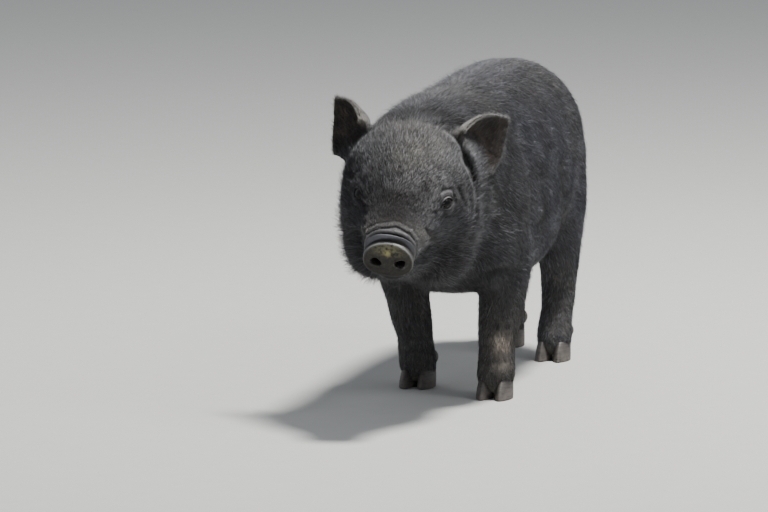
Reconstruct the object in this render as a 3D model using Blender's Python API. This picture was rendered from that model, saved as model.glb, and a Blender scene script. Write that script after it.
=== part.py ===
"""A standing pot-bellied piglet, life size, head lowered and turned a little to its left.

The flesh is lofted from named stations, joined, remeshed, smoothed and then parted with thin
cuts. Ears, eyes, nose disc, tail and claws are solids of their own. While it is modelled the pig
faces -Y with its left side at +X, and its forefeet stand about the origin.
"""

import math

import bmesh
import bpy
import numpy as np
from mathutils import Matrix, Vector

# ---------------------------------------------------------------- driving dimensions, in metres
GAP = 0.0003
VOXEL = 0.0018
FLESH_TRIANGLES = 2250
FACE_DETAIL = 0.00002
SMOOTHINGS = 28
HELD_BACK = 0.75
# In the head's axes, where the finer face and the snout begin, and how low the head reaches.
FACE_FROM = (-0.045, -0.015)
SNOUT_FROM = (-0.004, 0.016)
HEAD_BOTTOM = -0.08
# Heights under which the legs keep their shape.
FEET_UNDER = (0.05, 0.07)
RING = 40
# An oval's roundness: 2 is an ellipse, and more is squarer.
OVAL = 2.2

SIDES = {"left": 1.0, "right": -1.0}

# The head's own axes: x to its left, y out along the snout, z up from the snout's axis.
BETWEEN_EYES = Vector((-0.0016, -0.128, 0.1536))
HEAD_PITCH = math.radians(30.0)
HEAD_TURN = math.radians(4.0)
HEAD_ROLL = math.radians(6.0)

EYE_RADIUS = 0.0072
EYE_AT = (0.0285, 0.0050, 0.0065)
EYE_OUT = 0.0017
EYE_FINENESS = (14, 9)
SOCKET_GAP = 1.6 * GAP

SNOUT_END = 0.0560
DISC_FRONT = 0.0640
DISC_HALF = (0.0174, 0.0143)
# The disc's rings from back to front: distance back from its face and size.
DISC_RINGS = ((0.0080, 0.97), (0.0026, 1.035), (0.0008, 1.02), (0.0, 0.95), (0.0005, 0.80))
NOSTRIL_AT = (0.0080, -0.0030)
NOSTRIL_HALF = (0.0027, 0.0034)
NOSTRIL_DEPTH = 0.0060
# The mouth's line in the head's frame, (out along the snout, up), from the front to its corner.
MOUTH = ((0.075, -0.0163), (0.055, -0.0166), (0.036, -0.0205), (0.012, -0.0235))

EAR_LENGTH = 0.0453
EAR_HALF = 0.0210
EAR_LEAN = 0.55
EAR_DROP = 0.0032
EAR_THICK = 0.0026
EAR_LEAST_HALF = 0.0022
EAR_TIP_TURN = 0.035
# How far the ear's cup is bent round, in degrees: at its base, and how much flatter at its tip.
EAR_CUP = (66, 34)
# Places along the ear, from inside the head to its tip.
EAR_STATIONS = (-0.20, -0.02, 0.15, 0.33, 0.51, 0.68, 0.86, 0.95, 1.0)
# The middle of each ear's base, in the head's frame, and its tip's and outer edge's directions.
EARS = {
    "left": {"base": (0.0360, -0.038, 0.0155), "tip": (0.35, 0.65, 0.67), "outer": (0.33, 0.36, -0.87)},
    "right": {"base": (-0.0392, -0.038, 0.0155), "tip": (-0.31, 0.51, 0.80), "outer": (-0.55, 0.35, -0.76)},
}

CLAW_LENGTH = 0.0250
CLAW_WIDTH = 0.0124
CLAW_HEIGHT = 0.0150
CLEFT = 0.0012
# A claw's wall: share of its height, size, and how far back the ring's middle lies.
CLAW_RINGS = (
    (0.0, 0.92, 0.0),
    (0.08, 1.0, 0.0),
    (0.5, 0.94, 0.0018),
    (0.9, 0.80, 0.0044),
    (1.0, 0.60, 0.0050),
)
CLAW_TOE = 0.56
DEWCLAW_RADII = (0.0034, 0.0044, 0.0060)
DEWCLAW_OUT = 0.0085
DEWCLAW_UP = 0.020
DEWCLAW_BACK = {"foreleg": 0.013, "hindleg": 0.016}
DEWCLAW_TILT = math.radians(35)
DEWCLAW_GAP = 1.4 * GAP

# Each leg: where the middle of its sole stands and what its top grows from, as x and y.
LEGS = {
    "foreleg_left": {"foot": (0.0335, -0.016), "root": (0.0345, 0.000)},
    "foreleg_right": {"foot": (-0.0320, 0.016), "root": (-0.0490, 0.002)},
    "hindleg_left": {"foot": (0.0325, 0.160), "root": (0.0275, 0.162)},
    "hindleg_right": {"foot": (-0.0170, 0.216), "root": (-0.0260, 0.170)},
}
# Rounded masses: place, radii and turn about X. The shoulders and thighs stand in the pig's axes,
# and the jowls, cheeks and brows in the head's.
SHOULDERS = {"left": (0.0350, -0.008, 0.130), "right": (-0.0385, -0.008, 0.130)}
SHOULDER_RADII = (0.0205, 0.036, 0.056)
SHOULDER_TURN = math.radians(-18)
THIGH_AT = (0.0265, 0.176, 0.142)
THIGH_RADII = (0.0250, 0.046, 0.064)
THIGH_TURN = math.radians(-12)
HEAD_MASSES = (
    ((0.0305, -0.026, -0.026), (0.0185, 0.031, 0.034)),
    ((0.0205, -0.019, -0.048), (0.0245, 0.032, 0.029)),
    ((0.0195, -0.008, 0.0155), (0.0120, 0.014, 0.0125)),
)
# How high each leg reaches into the trunk, where its wrist or hock is parted, and its box's reach
# inward from the foot, fore and aft.
PARTING = {
    "foreleg": {"top": 0.088, "joint": 0.046, "fore": 0.022, "aft": 0.050},
    "hindleg": {"top": 0.100, "joint": 0.058, "fore": 0.036, "aft": 0.075},
}
INSIDE_LEG = {"foreleg_left": 0.007, "foreleg_right": 0.007, "hindleg_left": 0.007, "hindleg_right": 0.0003}
OUTSIDE_LEG = 0.085
UNDER_FLOOR = -0.01

# Where the body is parted: the plates behind the head, before the shoulder and in the trunk.
HEAD_BACK = (0.0, -0.060, -0.010)
HEAD_PLATE_LEAN = -0.9
NECK_PLATE = ((0, -0.036, 0.14), (0, -1, -0.25))
TRUNK_PLATES = (((0, 0.056, 0.14), (0, 1, 0)), ((0, 0.124, 0.14), (0, 1, 0)))
# The box that takes the jaw reaches this far down, forward and to each side, in the head's axes.
JAW_BOX = {"low": -0.085, "front": 0.070, "half": 0.070, "slope": 0.012}
SHARP_EDGE = math.radians(50)

# ---------------------------------------------------------------- stations of the lofts
# middle across, y, level of the widest part, half width, top, bottom
TRUNK = (
    (-0.004, -0.062, 0.136, 0.018, 0.164, 0.108),
    (-0.004, -0.052, 0.134, 0.038, 0.190, 0.089),
    (-0.003, -0.030, 0.132, 0.049, 0.209, 0.076),
    (-0.002, 0.002, 0.132, 0.0520, 0.2190, 0.0710),
    (-0.001, 0.045, 0.132, 0.0535, 0.2240, 0.0660),
    (-0.001, 0.090, 0.132, 0.0545, 0.2270, 0.0655),
    (-0.001, 0.130, 0.136, 0.0535, 0.2270, 0.0690),
    (0.000, 0.165, 0.144, 0.0515, 0.2245, 0.081),
    (0.001, 0.195, 0.150, 0.0475, 0.2160, 0.093),
    (0.001, 0.218, 0.153, 0.0375, 0.2000, 0.109),
    (0.001, 0.232, 0.152, 0.0200, 0.1800, 0.130),
)
# middle across, distance along the snout's axis, then level, half width, top and bottom
UPPER_HEAD = (
    (-0.001, -0.066, -0.014, 0.036, 0.0170, -0.056),
    (-0.002, -0.048, -0.020, 0.0450, 0.0320, -0.069),
    (-0.002, -0.030, -0.022, 0.0470, 0.0405, -0.073),
    (-0.001, -0.013, -0.020, 0.0450, 0.0390, -0.068),
    (0.0, 0.001, -0.013, 0.0370, 0.0335, -0.052),
    (0.0, 0.014, -0.007, 0.0300, 0.0255, -0.035),
    (0.0, 0.027, -0.003, 0.0243, 0.0196, -0.024),
    (0.0, 0.040, -0.001, 0.0209, 0.0167, -0.0190),
    (0.0, 0.052, 0.000, 0.0186, 0.0153, -0.0166),
    (0.0, 0.062, 0.000, 0.0176, 0.0144, -0.0150),
)
LOWER_JAW = (
    (0.0, -0.034, -0.040, 0.035, -0.010, -0.074),
    (0.0, -0.012, -0.038, 0.034, -0.010, -0.070),
    (0.0, 0.008, -0.033, 0.0265, -0.012, -0.058),
    (0.0, 0.026, -0.0275, 0.0180, -0.014, -0.0435),
    (0.0, 0.041, -0.0240, 0.0140, -0.0150, -0.0340),
    (0.0, 0.051, -0.0215, 0.0108, -0.0155, -0.0280),
    (0.0, 0.0565, -0.0205, 0.0060, -0.0170, -0.0245),
)
# share of the way from the chest to the head, half width, rise and drop
NECK = (
    (0.0, 0.0480, 0.0710, 0.0700),
    (0.5, 0.0490, 0.0640, 0.0700),
    (1.0, 0.0460, 0.0450, 0.0600),
)
# height, middle across and along from the foot's place, half width, reach forward, reach back
FORELEG = (
    (0.152, -0.0100, 0.010, 0.0080, 0.012, 0.015),
    (0.132, -0.0035, 0.008, 0.0165, 0.023, 0.027),
    (0.105, 0.0020, 0.008, 0.0195, 0.022, 0.027),
    (0.082, 0.0020, 0.008, 0.0187, 0.019, 0.023),
    (0.063, 0.0010, 0.006, 0.0162, 0.0165, 0.0180),
    (0.048, 0.0005, 0.004, 0.0150, 0.0158, 0.0150),
    (0.035, 0.0000, 0.004, 0.0134, 0.0134, 0.0134),
    (0.024, 0.0000, 0.003, 0.0138, 0.0140, 0.0150),
    (0.014, 0.0000, 0.003, 0.0136, 0.0130, 0.0120),
    (0.0035, 0.0000, 0.003, 0.0110, 0.0090, 0.0100),
)
HINDLEG = (
    (0.172, -0.0090, 0.022, 0.0120, 0.020, 0.022),
    (0.152, -0.0020, 0.020, 0.0220, 0.033, 0.035),
    (0.125, 0.0005, 0.018, 0.0235, 0.035, 0.036),
    (0.100, 0.0015, 0.015, 0.0210, 0.030, 0.028),
    (0.080, 0.0010, 0.018, 0.0172, 0.021, 0.020),
    (0.062, 0.0005, 0.022, 0.0144, 0.0155, 0.0165),
    (0.048, 0.0000, 0.020, 0.0130, 0.0135, 0.0140),
    (0.034, 0.0000, 0.013, 0.0124, 0.0126, 0.0130),
    (0.024, 0.0000, 0.008, 0.0132, 0.0135, 0.0145),
    (0.014, 0.0000, 0.004, 0.0132, 0.0130, 0.0120),
    (0.0035, 0.0000, 0.003, 0.0108, 0.0090, 0.0100),
)
TAIL_X = 0.003
# The tail's path from its root: y, z and radius.
TAIL = (
    (0.214, 0.182, 0.0070),
    (0.232, 0.181, 0.0060),
    (0.243, 0.168, 0.0047),
    (0.2475, 0.148, 0.0038),
    (0.2480, 0.128, 0.0030),
    (0.2465, 0.108, 0.0022),
)


def head_frame():
    """The matrix from the head's axes to the pig's: the head's +Y is the snout, which faces -Y."""
    turn = Matrix.Rotation(HEAD_TURN, 4, "Z")
    pitch = Matrix.Rotation(HEAD_PITCH, 4, "X")
    roll = Matrix.Rotation(HEAD_ROLL, 4, "Y")
    face = Matrix.Diagonal((1.0, -1.0, 1.0, 1.0))
    return Matrix.Translation(BETWEEN_EYES) @ turn @ pitch @ roll @ face


HEAD = head_frame()


# ---------------------------------------------------------------- curves and lofts
def through(rows, count):
    """Count samples of the Catmull-Rom curve through the rows, column by column."""
    rows = np.asarray(rows, float)
    place = np.linspace(0, len(rows) - 1, count)
    first = np.clip(place.astype(int), 0, len(rows) - 2)
    f = (place - first)[:, None]
    padded = np.vstack([2 * rows[0] - rows[1], rows, 2 * rows[-1] - rows[-2]])
    a, b, c, d = (padded[first + k] for k in range(4))
    cubic = 3 * b - a - 3 * c + d
    square = 2 * a - 5 * b + 4 * c - d
    return 0.5 * (2 * b + (c - a) * f + square * f**2 + cubic * f**3)


def step(value, start, end):
    """Rises smoothly from 0 at the start to 1 at the end."""
    share = np.clip((value - start) / (end - start), 0, 1)
    return share * share * (3 - 2 * share)


def oval(half_width, rise, drop, power=OVAL, count=RING):
    """A closed oval: (across, up) points with its own height above and depth below the middle."""
    turn = np.linspace(0, 2 * math.pi, count, endpoint=False)
    c, s = np.cos(turn), np.sin(turn)
    across = half_width * np.sign(c) * np.abs(c) ** (2 / power)
    height = np.where(s > 0, rise, drop)
    return across, height * np.sign(s) * np.abs(s) ** (2 / power)


def outward(mesh):
    """Turns every face of a closed mesh to face out."""
    if mesh.calc_volume(signed=True) < 0:
        bmesh.ops.reverse_faces(mesh, faces=mesh.faces)
    return mesh


def tube(rings, frame=None):
    """A closed bmesh that bridges rings of equal count, with a cap at each end."""
    mesh = bmesh.new()
    loops = [[mesh.verts.new(p) for p in ring] for ring in rings]
    for first, second in zip(loops, loops[1:]):
        for k in range(len(first)):
            n = (k + 1) % len(first)
            mesh.faces.new((first[k], first[n], second[n], second[k]))
    mesh.faces.new(loops[0][::-1])
    mesh.faces.new(loops[-1])
    if frame is not None:
        mesh.transform(frame)
    return outward(mesh)


def loft_along_y(stations, count, frame=None, power=OVAL):
    """Stations (middle, y, level, half width, top, bottom) as ovals that stand across the Y axis."""
    rings = []
    for middle, y, level, half, top, bottom in through(stations, count):
        across, up = oval(half, top - level, level - bottom, power)
        rings.append([(middle + x, y, level + z) for x, z in zip(across, up)])
    return tube(rings, frame)


def loft_down(stations, foot, root, count=34, power=2.1):
    """A leg: level ovals whose middles run from under the root at the top to the foot's place."""
    side = math.copysign(1.0, foot[0])
    top = stations[0][0]
    rings = []
    for z, out, back, half, fore, aft in through(stations, count):
        share = step(z, 0.0, top)
        x = foot[0] * (1 - share) + root[0] * share + out * side
        y = foot[1] * (1 - share) + root[1] * share + back
        across, along = oval(half, aft, fore, power)
        rings.append([(x + u, y + v, z) for u, v in zip(across, along)])
    return tube(rings)


def ball(centre, radii, frame=None, turn=0.0, fine=(32, 20)):
    """An ellipsoid, turned about its own X axis before it is placed."""
    mesh = bmesh.new()
    bmesh.ops.create_uvsphere(mesh, u_segments=fine[0], v_segments=fine[1], radius=1.0)
    shape = Matrix.Rotation(turn, 4, "X") @ Matrix.Diagonal((*radii, 1.0))
    mesh.transform(Matrix.Translation(Vector(centre)) @ shape)
    if frame is not None:
        mesh.transform(frame)
    return outward(mesh)


# ---------------------------------------------------------------- objects, modifiers and materials
def material(name, colour, roughness):
    """A Principled material of one colour."""
    made = bpy.data.materials.get(name) or bpy.data.materials.new(name)
    made.use_nodes = True
    shader = made.node_tree.nodes["Principled BSDF"]
    shader.inputs["Base Color"].default_value = (*colour, 1.0)
    shader.inputs["Roughness"].default_value = roughness
    return made


def coat_material():
    return material("coat", (0.028, 0.026, 0.027), 0.62)


def nose_material():
    return material("nose_skin", (0.060, 0.056, 0.052), 0.42)


def eye_material():
    return material("eye", (0.010, 0.008, 0.007), 0.06)


def claw_material():
    return material("claw_horn", (0.085, 0.070, 0.058), 0.48)


def add_object(name, mesh, surface=None, helper=False):
    """Links a new object made from a bmesh, which it frees. A helper isn't part of the pig."""
    data = bpy.data.meshes.new(name)
    mesh.to_mesh(data)
    mesh.free()
    made = bpy.data.objects.new(name, data)
    bpy.context.scene.collection.objects.link(made)
    if surface is not None:
        data.materials.append(surface)
    if helper:
        made.hide_render = True
        made.display_type = "WIRE"
    return made


def joined(meshes):
    """One bmesh that holds all the others."""
    whole = bmesh.new()
    for mesh in meshes:
        data = bpy.data.meshes.new("part_of_flesh")
        mesh.to_mesh(data)
        mesh.free()
        whole.from_mesh(data)
        bpy.data.meshes.remove(data)
    return whole


def settle(made):
    """Replaces the object's mesh by what its modifiers make of it, and drops them."""
    graph = bpy.context.evaluated_depsgraph_get()
    data = bpy.data.meshes.new_from_object(made.evaluated_get(graph))
    made.modifiers.clear()
    made.data = data
    return made


def weight_by(made, name, weights):
    """Makes a vertex group with a weight for each vertex, in tenths, and returns its name."""
    group = made.vertex_groups.new(name=name)
    tenths = np.round(weights * 10)
    for level in range(1, 11):
        group.add(np.flatnonzero(tenths == level).tolist(), level / 10, "REPLACE")
    return group.name


def smooth(made, times, weights):
    """Relaxes the surface. The weights, one for each vertex, hold part of it back."""
    step = made.modifiers.new("relax", "SMOOTH")
    step.factor = 0.5
    step.iterations = times
    step.vertex_group = weight_by(made, "relaxed", weights)


def cut(made, tool, operation):
    step = made.modifiers.new(operation.lower(), "BOOLEAN")
    step.operation = operation
    step.solver = "EXACT"
    step.object = tool


def points_of(made):
    found = np.empty(len(made.data.vertices) * 3, np.float32)
    made.data.vertices.foreach_get("co", found)
    return found.reshape(-1, 3)


# ---------------------------------------------------------------- the flesh
def neck_mesh():
    """Ovals that turn from the trunk's upright sections to the head's tilted ones."""
    head_turn = (HEAD @ Matrix.Diagonal((1.0, -1.0, 1.0, 1.0))).to_quaternion()
    start, end = Vector((-0.002, 0.030, 0.146)), HEAD @ Vector((0.0, -0.030, -0.006))
    rings = []
    for share, half, rise, drop in through(NECK, 13):
        turned = Matrix().to_quaternion().slerp(head_turn, share * 0.85)
        across, up = oval(half, rise, drop, 2.4)
        middle = start.lerp(end, share)
        rings.append([middle + turned @ Vector((x, 0.0, z)) for x, z in zip(across, up)])
    return tube(rings)


def flesh_masses():
    """Every loft and mass that makes up the body, head and legs, as overlapping closed meshes."""
    yield loft_along_y(TRUNK, 48)
    yield neck_mesh()
    yield loft_along_y(UPPER_HEAD, 46, HEAD, power=2.15)
    yield loft_along_y(LOWER_JAW, 30, HEAD)
    for label, side in SIDES.items():
        yield ball(SHOULDERS[label], SHOULDER_RADII, turn=SHOULDER_TURN)
        yield ball((THIGH_AT[0] * side, *THIGH_AT[1:]), THIGH_RADII, turn=THIGH_TURN)
        for (out, y, z), radii in HEAD_MASSES:
            yield ball((out * side, y, z), radii, HEAD)
    for name, leg in LEGS.items():
        yield loft_down(FORELEG if name.startswith("fore") else HINDLEG, leg["foot"], leg["root"])


def make_flesh():
    """The whole body as one closed surface, smoothed least and left finest about the face."""
    made = add_object("flesh", joined(flesh_masses()), helper=True)
    weld = made.modifiers.new("weld", "REMESH")
    weld.mode = "VOXEL"
    weld.voxel_size = VOXEL
    settle(made)
    into_head = np.array(HEAD.inverted())
    local = points_of(made) @ into_head[:3, :3].T + into_head[:3, 3]
    in_head = local[:, 2] > HEAD_BOTTOM
    face = in_head * np.clip((local[:, 1] - FACE_FROM[0]) / (FACE_FROM[1] - FACE_FROM[0]), 0, 1)
    snout = in_head * np.clip((local[:, 1] - SNOUT_FROM[0]) / (SNOUT_FROM[1] - SNOUT_FROM[0]), 0, 1)
    feet = np.clip((FEET_UNDER[1] - points_of(made)[:, 2]) / (FEET_UNDER[1] - FEET_UNDER[0]), 0, 1)
    smooth(made, SMOOTHINGS, 1.0 - HELD_BACK * np.maximum(snout, feet))
    settle(made)
    weight_by(made, "coarser", np.maximum(0.1, 1.0 - 0.9 * face))
    thin = made.modifiers.new("thin", "DECIMATE")
    thin.ratio = FLESH_TRIANGLES / (2.0 * len(made.data.polygons))
    thin.vertex_group = "coarser"
    thin.vertex_group_factor = FACE_DETAIL
    return settle(made)


def grown(made):
    """A helper copy whose surface stands off the object's by a gap, to cut what meets it."""
    copy = made.copy()
    copy.data = made.data.copy()
    copy.name = made.name + "_grown"
    bpy.context.scene.collection.objects.link(copy)
    copy.hide_render = True
    copy.display_type = "WIRE"
    points = points_of(made).astype(float)
    normals = np.array([tuple(v.normal) for v in made.data.vertices])
    copy.data.vertices.foreach_set("co", (points + 1.15 * GAP * normals).ravel())
    copy.data.update()
    return copy


def taken(made, tool, name, surface):
    """The part of an object inside a tool, as a new object."""
    part = made.copy()
    part.data = made.data.copy()
    part.name = name
    bpy.context.scene.collection.objects.link(part)
    cut(part, tool, "INTERSECT")
    settle(part)
    part.data.materials.clear()
    part.data.materials.append(surface)
    part.hide_render = False
    part.display_type = "TEXTURED"
    return part


def without(made, tool):
    cut(made, tool, "DIFFERENCE")
    return settle(made)


def box(low, high, frame=None):
    """A closed box between two corners."""
    mesh = bmesh.new()
    bmesh.ops.create_cube(mesh, size=1.0)
    size = [b - a for a, b in zip(low, high)]
    middle = [(a + b) / 2 for a, b in zip(low, high)]
    mesh.transform(Matrix.Translation(middle) @ Matrix.Diagonal((*size, 1.0)))
    if frame is not None:
        mesh.transform(frame)
    return outward(mesh)


def slab(point, normal, reach=0.16):
    """A thin square plate of one gap's thickness, which parts what it crosses."""
    turned = Vector((0, 0, 1)).rotation_difference(Vector(normal).normalized()).to_matrix().to_4x4()
    half = GAP / 2
    return box((-reach, -reach, -half), (reach, reach, half), Matrix.Translation(point) @ turned)


def loose(made, names):
    """Separates an object's loose parts, and names them by which of the points each is nearest."""
    bpy.ops.object.select_all(action="DESELECT")
    made.select_set(True)
    bpy.context.view_layer.objects.active = made
    bpy.ops.object.mode_set(mode="EDIT")
    bpy.ops.mesh.select_all(action="SELECT")
    bpy.ops.mesh.separate(type="LOOSE")
    bpy.ops.object.mode_set(mode="OBJECT")
    parts = list(bpy.context.selected_objects)
    for part in parts:
        part.name = "loose_part"
    for name, point in names.items():
        away = [np.linalg.norm(points_of(part).mean(axis=0) - np.array(point)) for part in parts]
        nearest = parts.pop(int(np.argmin(away)))
        nearest.name = name
    if parts:
        raise RuntimeError(f"{len(parts)} loose parts were left over with {list(names)}")


# ---------------------------------------------------------------- the pieces
def part_legs(flesh):
    """Takes each leg off the body with a box, then parts it at its wrist or hock."""
    for name, leg in LEGS.items():
        kind = PARTING[name.split("_")[0]]
        side = math.copysign(1.0, leg["foot"][0])
        y = leg["foot"][1] if name.startswith("fore") else leg["root"][1]
        ends = sorted((INSIDE_LEG[name] * side, OUTSIDE_LEG * side))
        fore = min(y, leg["foot"][1]) - kind["fore"]
        aft = max(y, leg["foot"][1]) + kind["aft"]
        low, high = (ends[0], fore, UNDER_FLOOR), (ends[1], aft, kind["top"])
        tool = add_object(name + "_box", box(low, high), helper=True)
        around = box((low[0] - GAP, low[1] - GAP, UNDER_FLOOR), [v + GAP for v in high])
        room = add_object(name + "_room", around, helper=True)
        whole = taken(flesh, tool, name, coat_material())
        without(flesh, room)
        joint = (*leg["foot"], kind["joint"])
        without(whole, add_object(name + "_parting", slab(joint, (0, 0, 1)), helper=True))
        loose(whole, {name + "_upper": (*joint[:2], kind["top"]), name + "_lower": (*joint[:2], 0.0)})


def away_from_cleft(name, inner):
    """The direction, 1 or -1 along X, in which a claw lies from the middle of its foot."""
    return math.copysign(1.0, LEGS[name]["foot"][0]) * (-1.0 if inner else 1.0)


def claw_mesh(name, inner, grow=0.0):
    """One main claw: a pointed sole, flat on the floor, below a wall that leans back to its crown."""
    foot_x, foot_y = LEGS[name]["foot"]
    middle = foot_x + away_from_cleft(name, inner) * (CLEFT + CLAW_WIDTH) / 2
    turn = np.linspace(0, 2 * math.pi, 12, endpoint=False)
    c, s = np.cos(turn), np.sin(turn)
    reach = CLAW_LENGTH * np.where(s < 0, CLAW_TOE, 1.0 - CLAW_TOE)
    narrow = 1.0 - 0.30 * np.clip(-s, 0, 1) ** 2
    rings = []
    for share, scale, back in CLAW_RINGS:
        x = middle + c * narrow * (CLAW_WIDTH / 2 * scale + grow)
        y = foot_y - 0.001 + back + s * (reach * scale + grow)
        level = share * CLAW_HEIGHT + grow * (share == 1.0) - grow * (share == 0.0)
        rings.append([(u, v, level) for u, v in zip(x, y)])
    return tube(rings)


def add_claws(name):
    """The foot's two main claws and its two dewclaws, which it gives room in the leg."""
    lower = bpy.data.objects[name + "_lower"]
    x, y = LEGS[name]["foot"]
    y += DEWCLAW_BACK[name.split("_")[0]]
    for inner, label in ((False, "outer"), (True, "inner")):
        add_object(f"{name}_claw_{label}", claw_mesh(name, inner), claw_material())
        without(lower, add_object(f"{name}_claw_room", claw_mesh(name, inner, GAP), helper=True))
        at = (x + DEWCLAW_OUT * away_from_cleft(name, inner), y, DEWCLAW_UP)
        small = ball(at, DEWCLAW_RADII, turn=DEWCLAW_TILT, fine=(8, 5))
        add_object(f"{name}_dewclaw_{label}", small, claw_material())
        large = ball(at, [r + DEWCLAW_GAP for r in DEWCLAW_RADII], turn=DEWCLAW_TILT, fine=(8, 5))
        without(lower, add_object(f"{name}_dewclaw_room", large, helper=True))


def add_eyes(flesh):
    """Each eyeball sits in a socket of its own in the flesh, with a little of it bare."""
    surface = flesh.closest_point_on_mesh
    for label, side in SIDES.items():
        _, place, normal, _ = surface(HEAD @ Vector((EYE_AT[0] * side, *EYE_AT[1:])))
        centre = place - normal * (EYE_RADIUS - EYE_OUT)
        add_object("eye_" + label, ball(centre, (EYE_RADIUS,) * 3, fine=EYE_FINENESS), eye_material())
        socket = ball(centre, (EYE_RADIUS + SOCKET_GAP,) * 3, fine=EYE_FINENESS)
        without(flesh, add_object("socket_" + label, socket, helper=True))


def ear_sheet(ear, offset):
    """A cupped leaf, (points along, points across): arcs that flatten and narrow toward the tip."""
    tip = Vector(ear["tip"]).normalized()
    outer = Vector(ear["outer"])
    outer = (outer - tip * outer.dot(tip)).normalized()
    base = HEAD @ Vector(ear["base"]) + outer * EAR_DROP
    tip = (tip - outer * EAR_TIP_TURN).normalized()
    opening = tip.cross(outer)
    if opening.y > 0:
        opening = -opening
    v = np.linspace(-1, 1, 9)
    rows = []
    for u in EAR_STATIONS:
        out_of_head = max(u, 0.0)
        lobe = 1.0 - 0.20 * (1 - min(out_of_head / 0.38, 1.0)) ** 2
        width = max(EAR_HALF * (1 - out_of_head**3) ** 0.75 * lobe, EAR_LEAST_HALF)
        spread = math.radians(EAR_CUP[0] - EAR_CUP[1] * out_of_head)
        radius = width / math.sin(spread)
        angle = v * spread
        outer_side = 0.80 + 0.50 * step(u, -0.12, 0.20) - 0.16 * step(u, 0.40, 0.85)
        inner_side = 0.92 - 0.14 * step(u, 0.10, 0.50)
        across = radius * np.sin(angle) * np.where(angle > 0, outer_side, inner_side)
        across += EAR_LEAN * (EAR_HALF - width)
        depth = radius * (np.cos(angle) - math.cos(spread))
        thick = offset * (1 - 0.45 * out_of_head) * (1 - 0.35 * np.abs(v) ** 3)
        middle = base + tip * (EAR_LENGTH * u)
        row = []
        for a, d, t, g in zip(across, depth, thick, angle):
            out = outer * math.sin(g) - opening * math.cos(g)
            row.append(middle + outer * a - opening * d + out * t)
        rows.append(row)
    return rows


def add_ears(flesh):
    """Ears as cupped solids, cut clear of the head at their base."""
    around = grown(flesh)
    for label, ear in EARS.items():
        inner, outer = ear_sheet(ear, 0.0), ear_sheet(ear, EAR_THICK)
        rings = [a + b[::-1] for a, b in zip(inner, outer)]
        made = add_object("ear_" + label, tube(rings), coat_material())
        without(made, around)


def add_disc(flesh):
    """The rooting disc: cut off the snout's end, flat in front, with two nostrils."""
    rings = []
    for back, scale in DISC_RINGS:
        half, rise = DISC_HALF[0] * scale, DISC_HALF[1] * scale
        x, z = oval(half, rise, rise, count=20)
        rings.append([(u, DISC_FRONT - back, w) for u, w in zip(x, z)])
    disc = add_object("nose_disc", tube(rings, HEAD), nose_material())
    for side in SIDES.values():
        at = (NOSTRIL_AT[0] * side, DISC_FRONT, NOSTRIL_AT[1])
        hole = ball(at, (NOSTRIL_HALF[0], NOSTRIL_DEPTH, NOSTRIL_HALF[1]), HEAD, fine=(8, 7))
        without(disc, add_object("nostril_cutter", hole, helper=True))
    beyond = box((-0.05, SNOUT_END - GAP, -0.05), (0.05, 0.10, 0.03), HEAD)
    without(flesh, add_object("snout_end_cutter", beyond, helper=True))


def prism(profile, half, frame):
    """A closed prism: a (y, z) outline carried across from -half to half."""
    return tube([[(x, y, z) for y, z in profile] for x in (-half, half)], frame)


def part_jaw(head):
    """Takes the lower jaw off along the mouth's line, and then down behind its corner."""
    corner_y, corner_z = MOUTH[-1]
    low, front, half = JAW_BOX["low"], JAW_BOX["front"], JAW_BOX["half"]
    back = corner_y - JAW_BOX["slope"]
    inside = prism([*MOUTH, (back, low), (front, low)], half, HEAD)
    raised = [(y, z + GAP) for y, z in MOUTH[:-1]] + [(corner_y - GAP, corner_z + GAP)]
    room = prism([*raised, (back - 1.2 * GAP, low), (front, low)], half + GAP, HEAD)
    taken(head, add_object("jaw_tool", inside, helper=True), "jaw", coat_material())
    without(head, add_object("jaw_room", room, helper=True))


def part_body(flesh):
    """Parts what the legs leave into the head, the neck and three lengths of trunk."""
    lean = (HEAD.to_3x3() @ Vector((0, 1, 0))) + Vector((0, HEAD_PLATE_LEAN, 0))
    for point, normal in ((HEAD @ Vector(HEAD_BACK), lean), NECK_PLATE, *TRUNK_PLATES):
        without(flesh, add_object("body_parting", slab(point, normal), helper=True))
    flesh.hide_render = False
    loose(
        flesh,
        {
            "head": HEAD @ Vector((0, -0.01, 0)),
            "neck": (0, -0.06, 0.15),
            "trunk_fore": (0, 0.01, 0.15),
            "trunk_barrel": (0, 0.09, 0.15),
            "trunk_hind": (0, 0.18, 0.15),
        },
    )


def add_tail(flesh):
    """A thin tail that hangs behind the rump, as rings of 8 points across its path."""
    rings = []
    path = through(TAIL, 9)
    for k, (y, z, radius) in enumerate(path):
        ahead = path[min(k + 1, len(path) - 1)] - path[max(k - 1, 0)]
        slope = math.atan2(ahead[1], ahead[0])
        ring = []
        for t in np.linspace(0, 2 * math.pi, 8, endpoint=False):
            out = radius * math.sin(t)
            x = TAIL_X + radius * math.cos(t)
            ring.append((x, y - out * math.sin(slope), z + out * math.cos(slope)))
        rings.append(ring)
    tail = add_object("tail", tube(rings), coat_material())
    without(tail, grown(flesh))


def stand_at_origin():
    """Moves every object so that the pig's box is centred on the origin and its soles are at zero."""
    corners = np.vstack([points_of(made) for made in bpy.data.objects])
    low, high = corners.min(axis=0), corners.max(axis=0)
    shift = Matrix.Translation((-(low[0] + high[0]) / 2, -(low[1] + high[1]) / 2, -low[2]))
    print("stands at the origin after a move of", [round(v, 6) for v in shift.translation])
    for made in bpy.data.objects:
        made.data.transform(shift)


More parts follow.
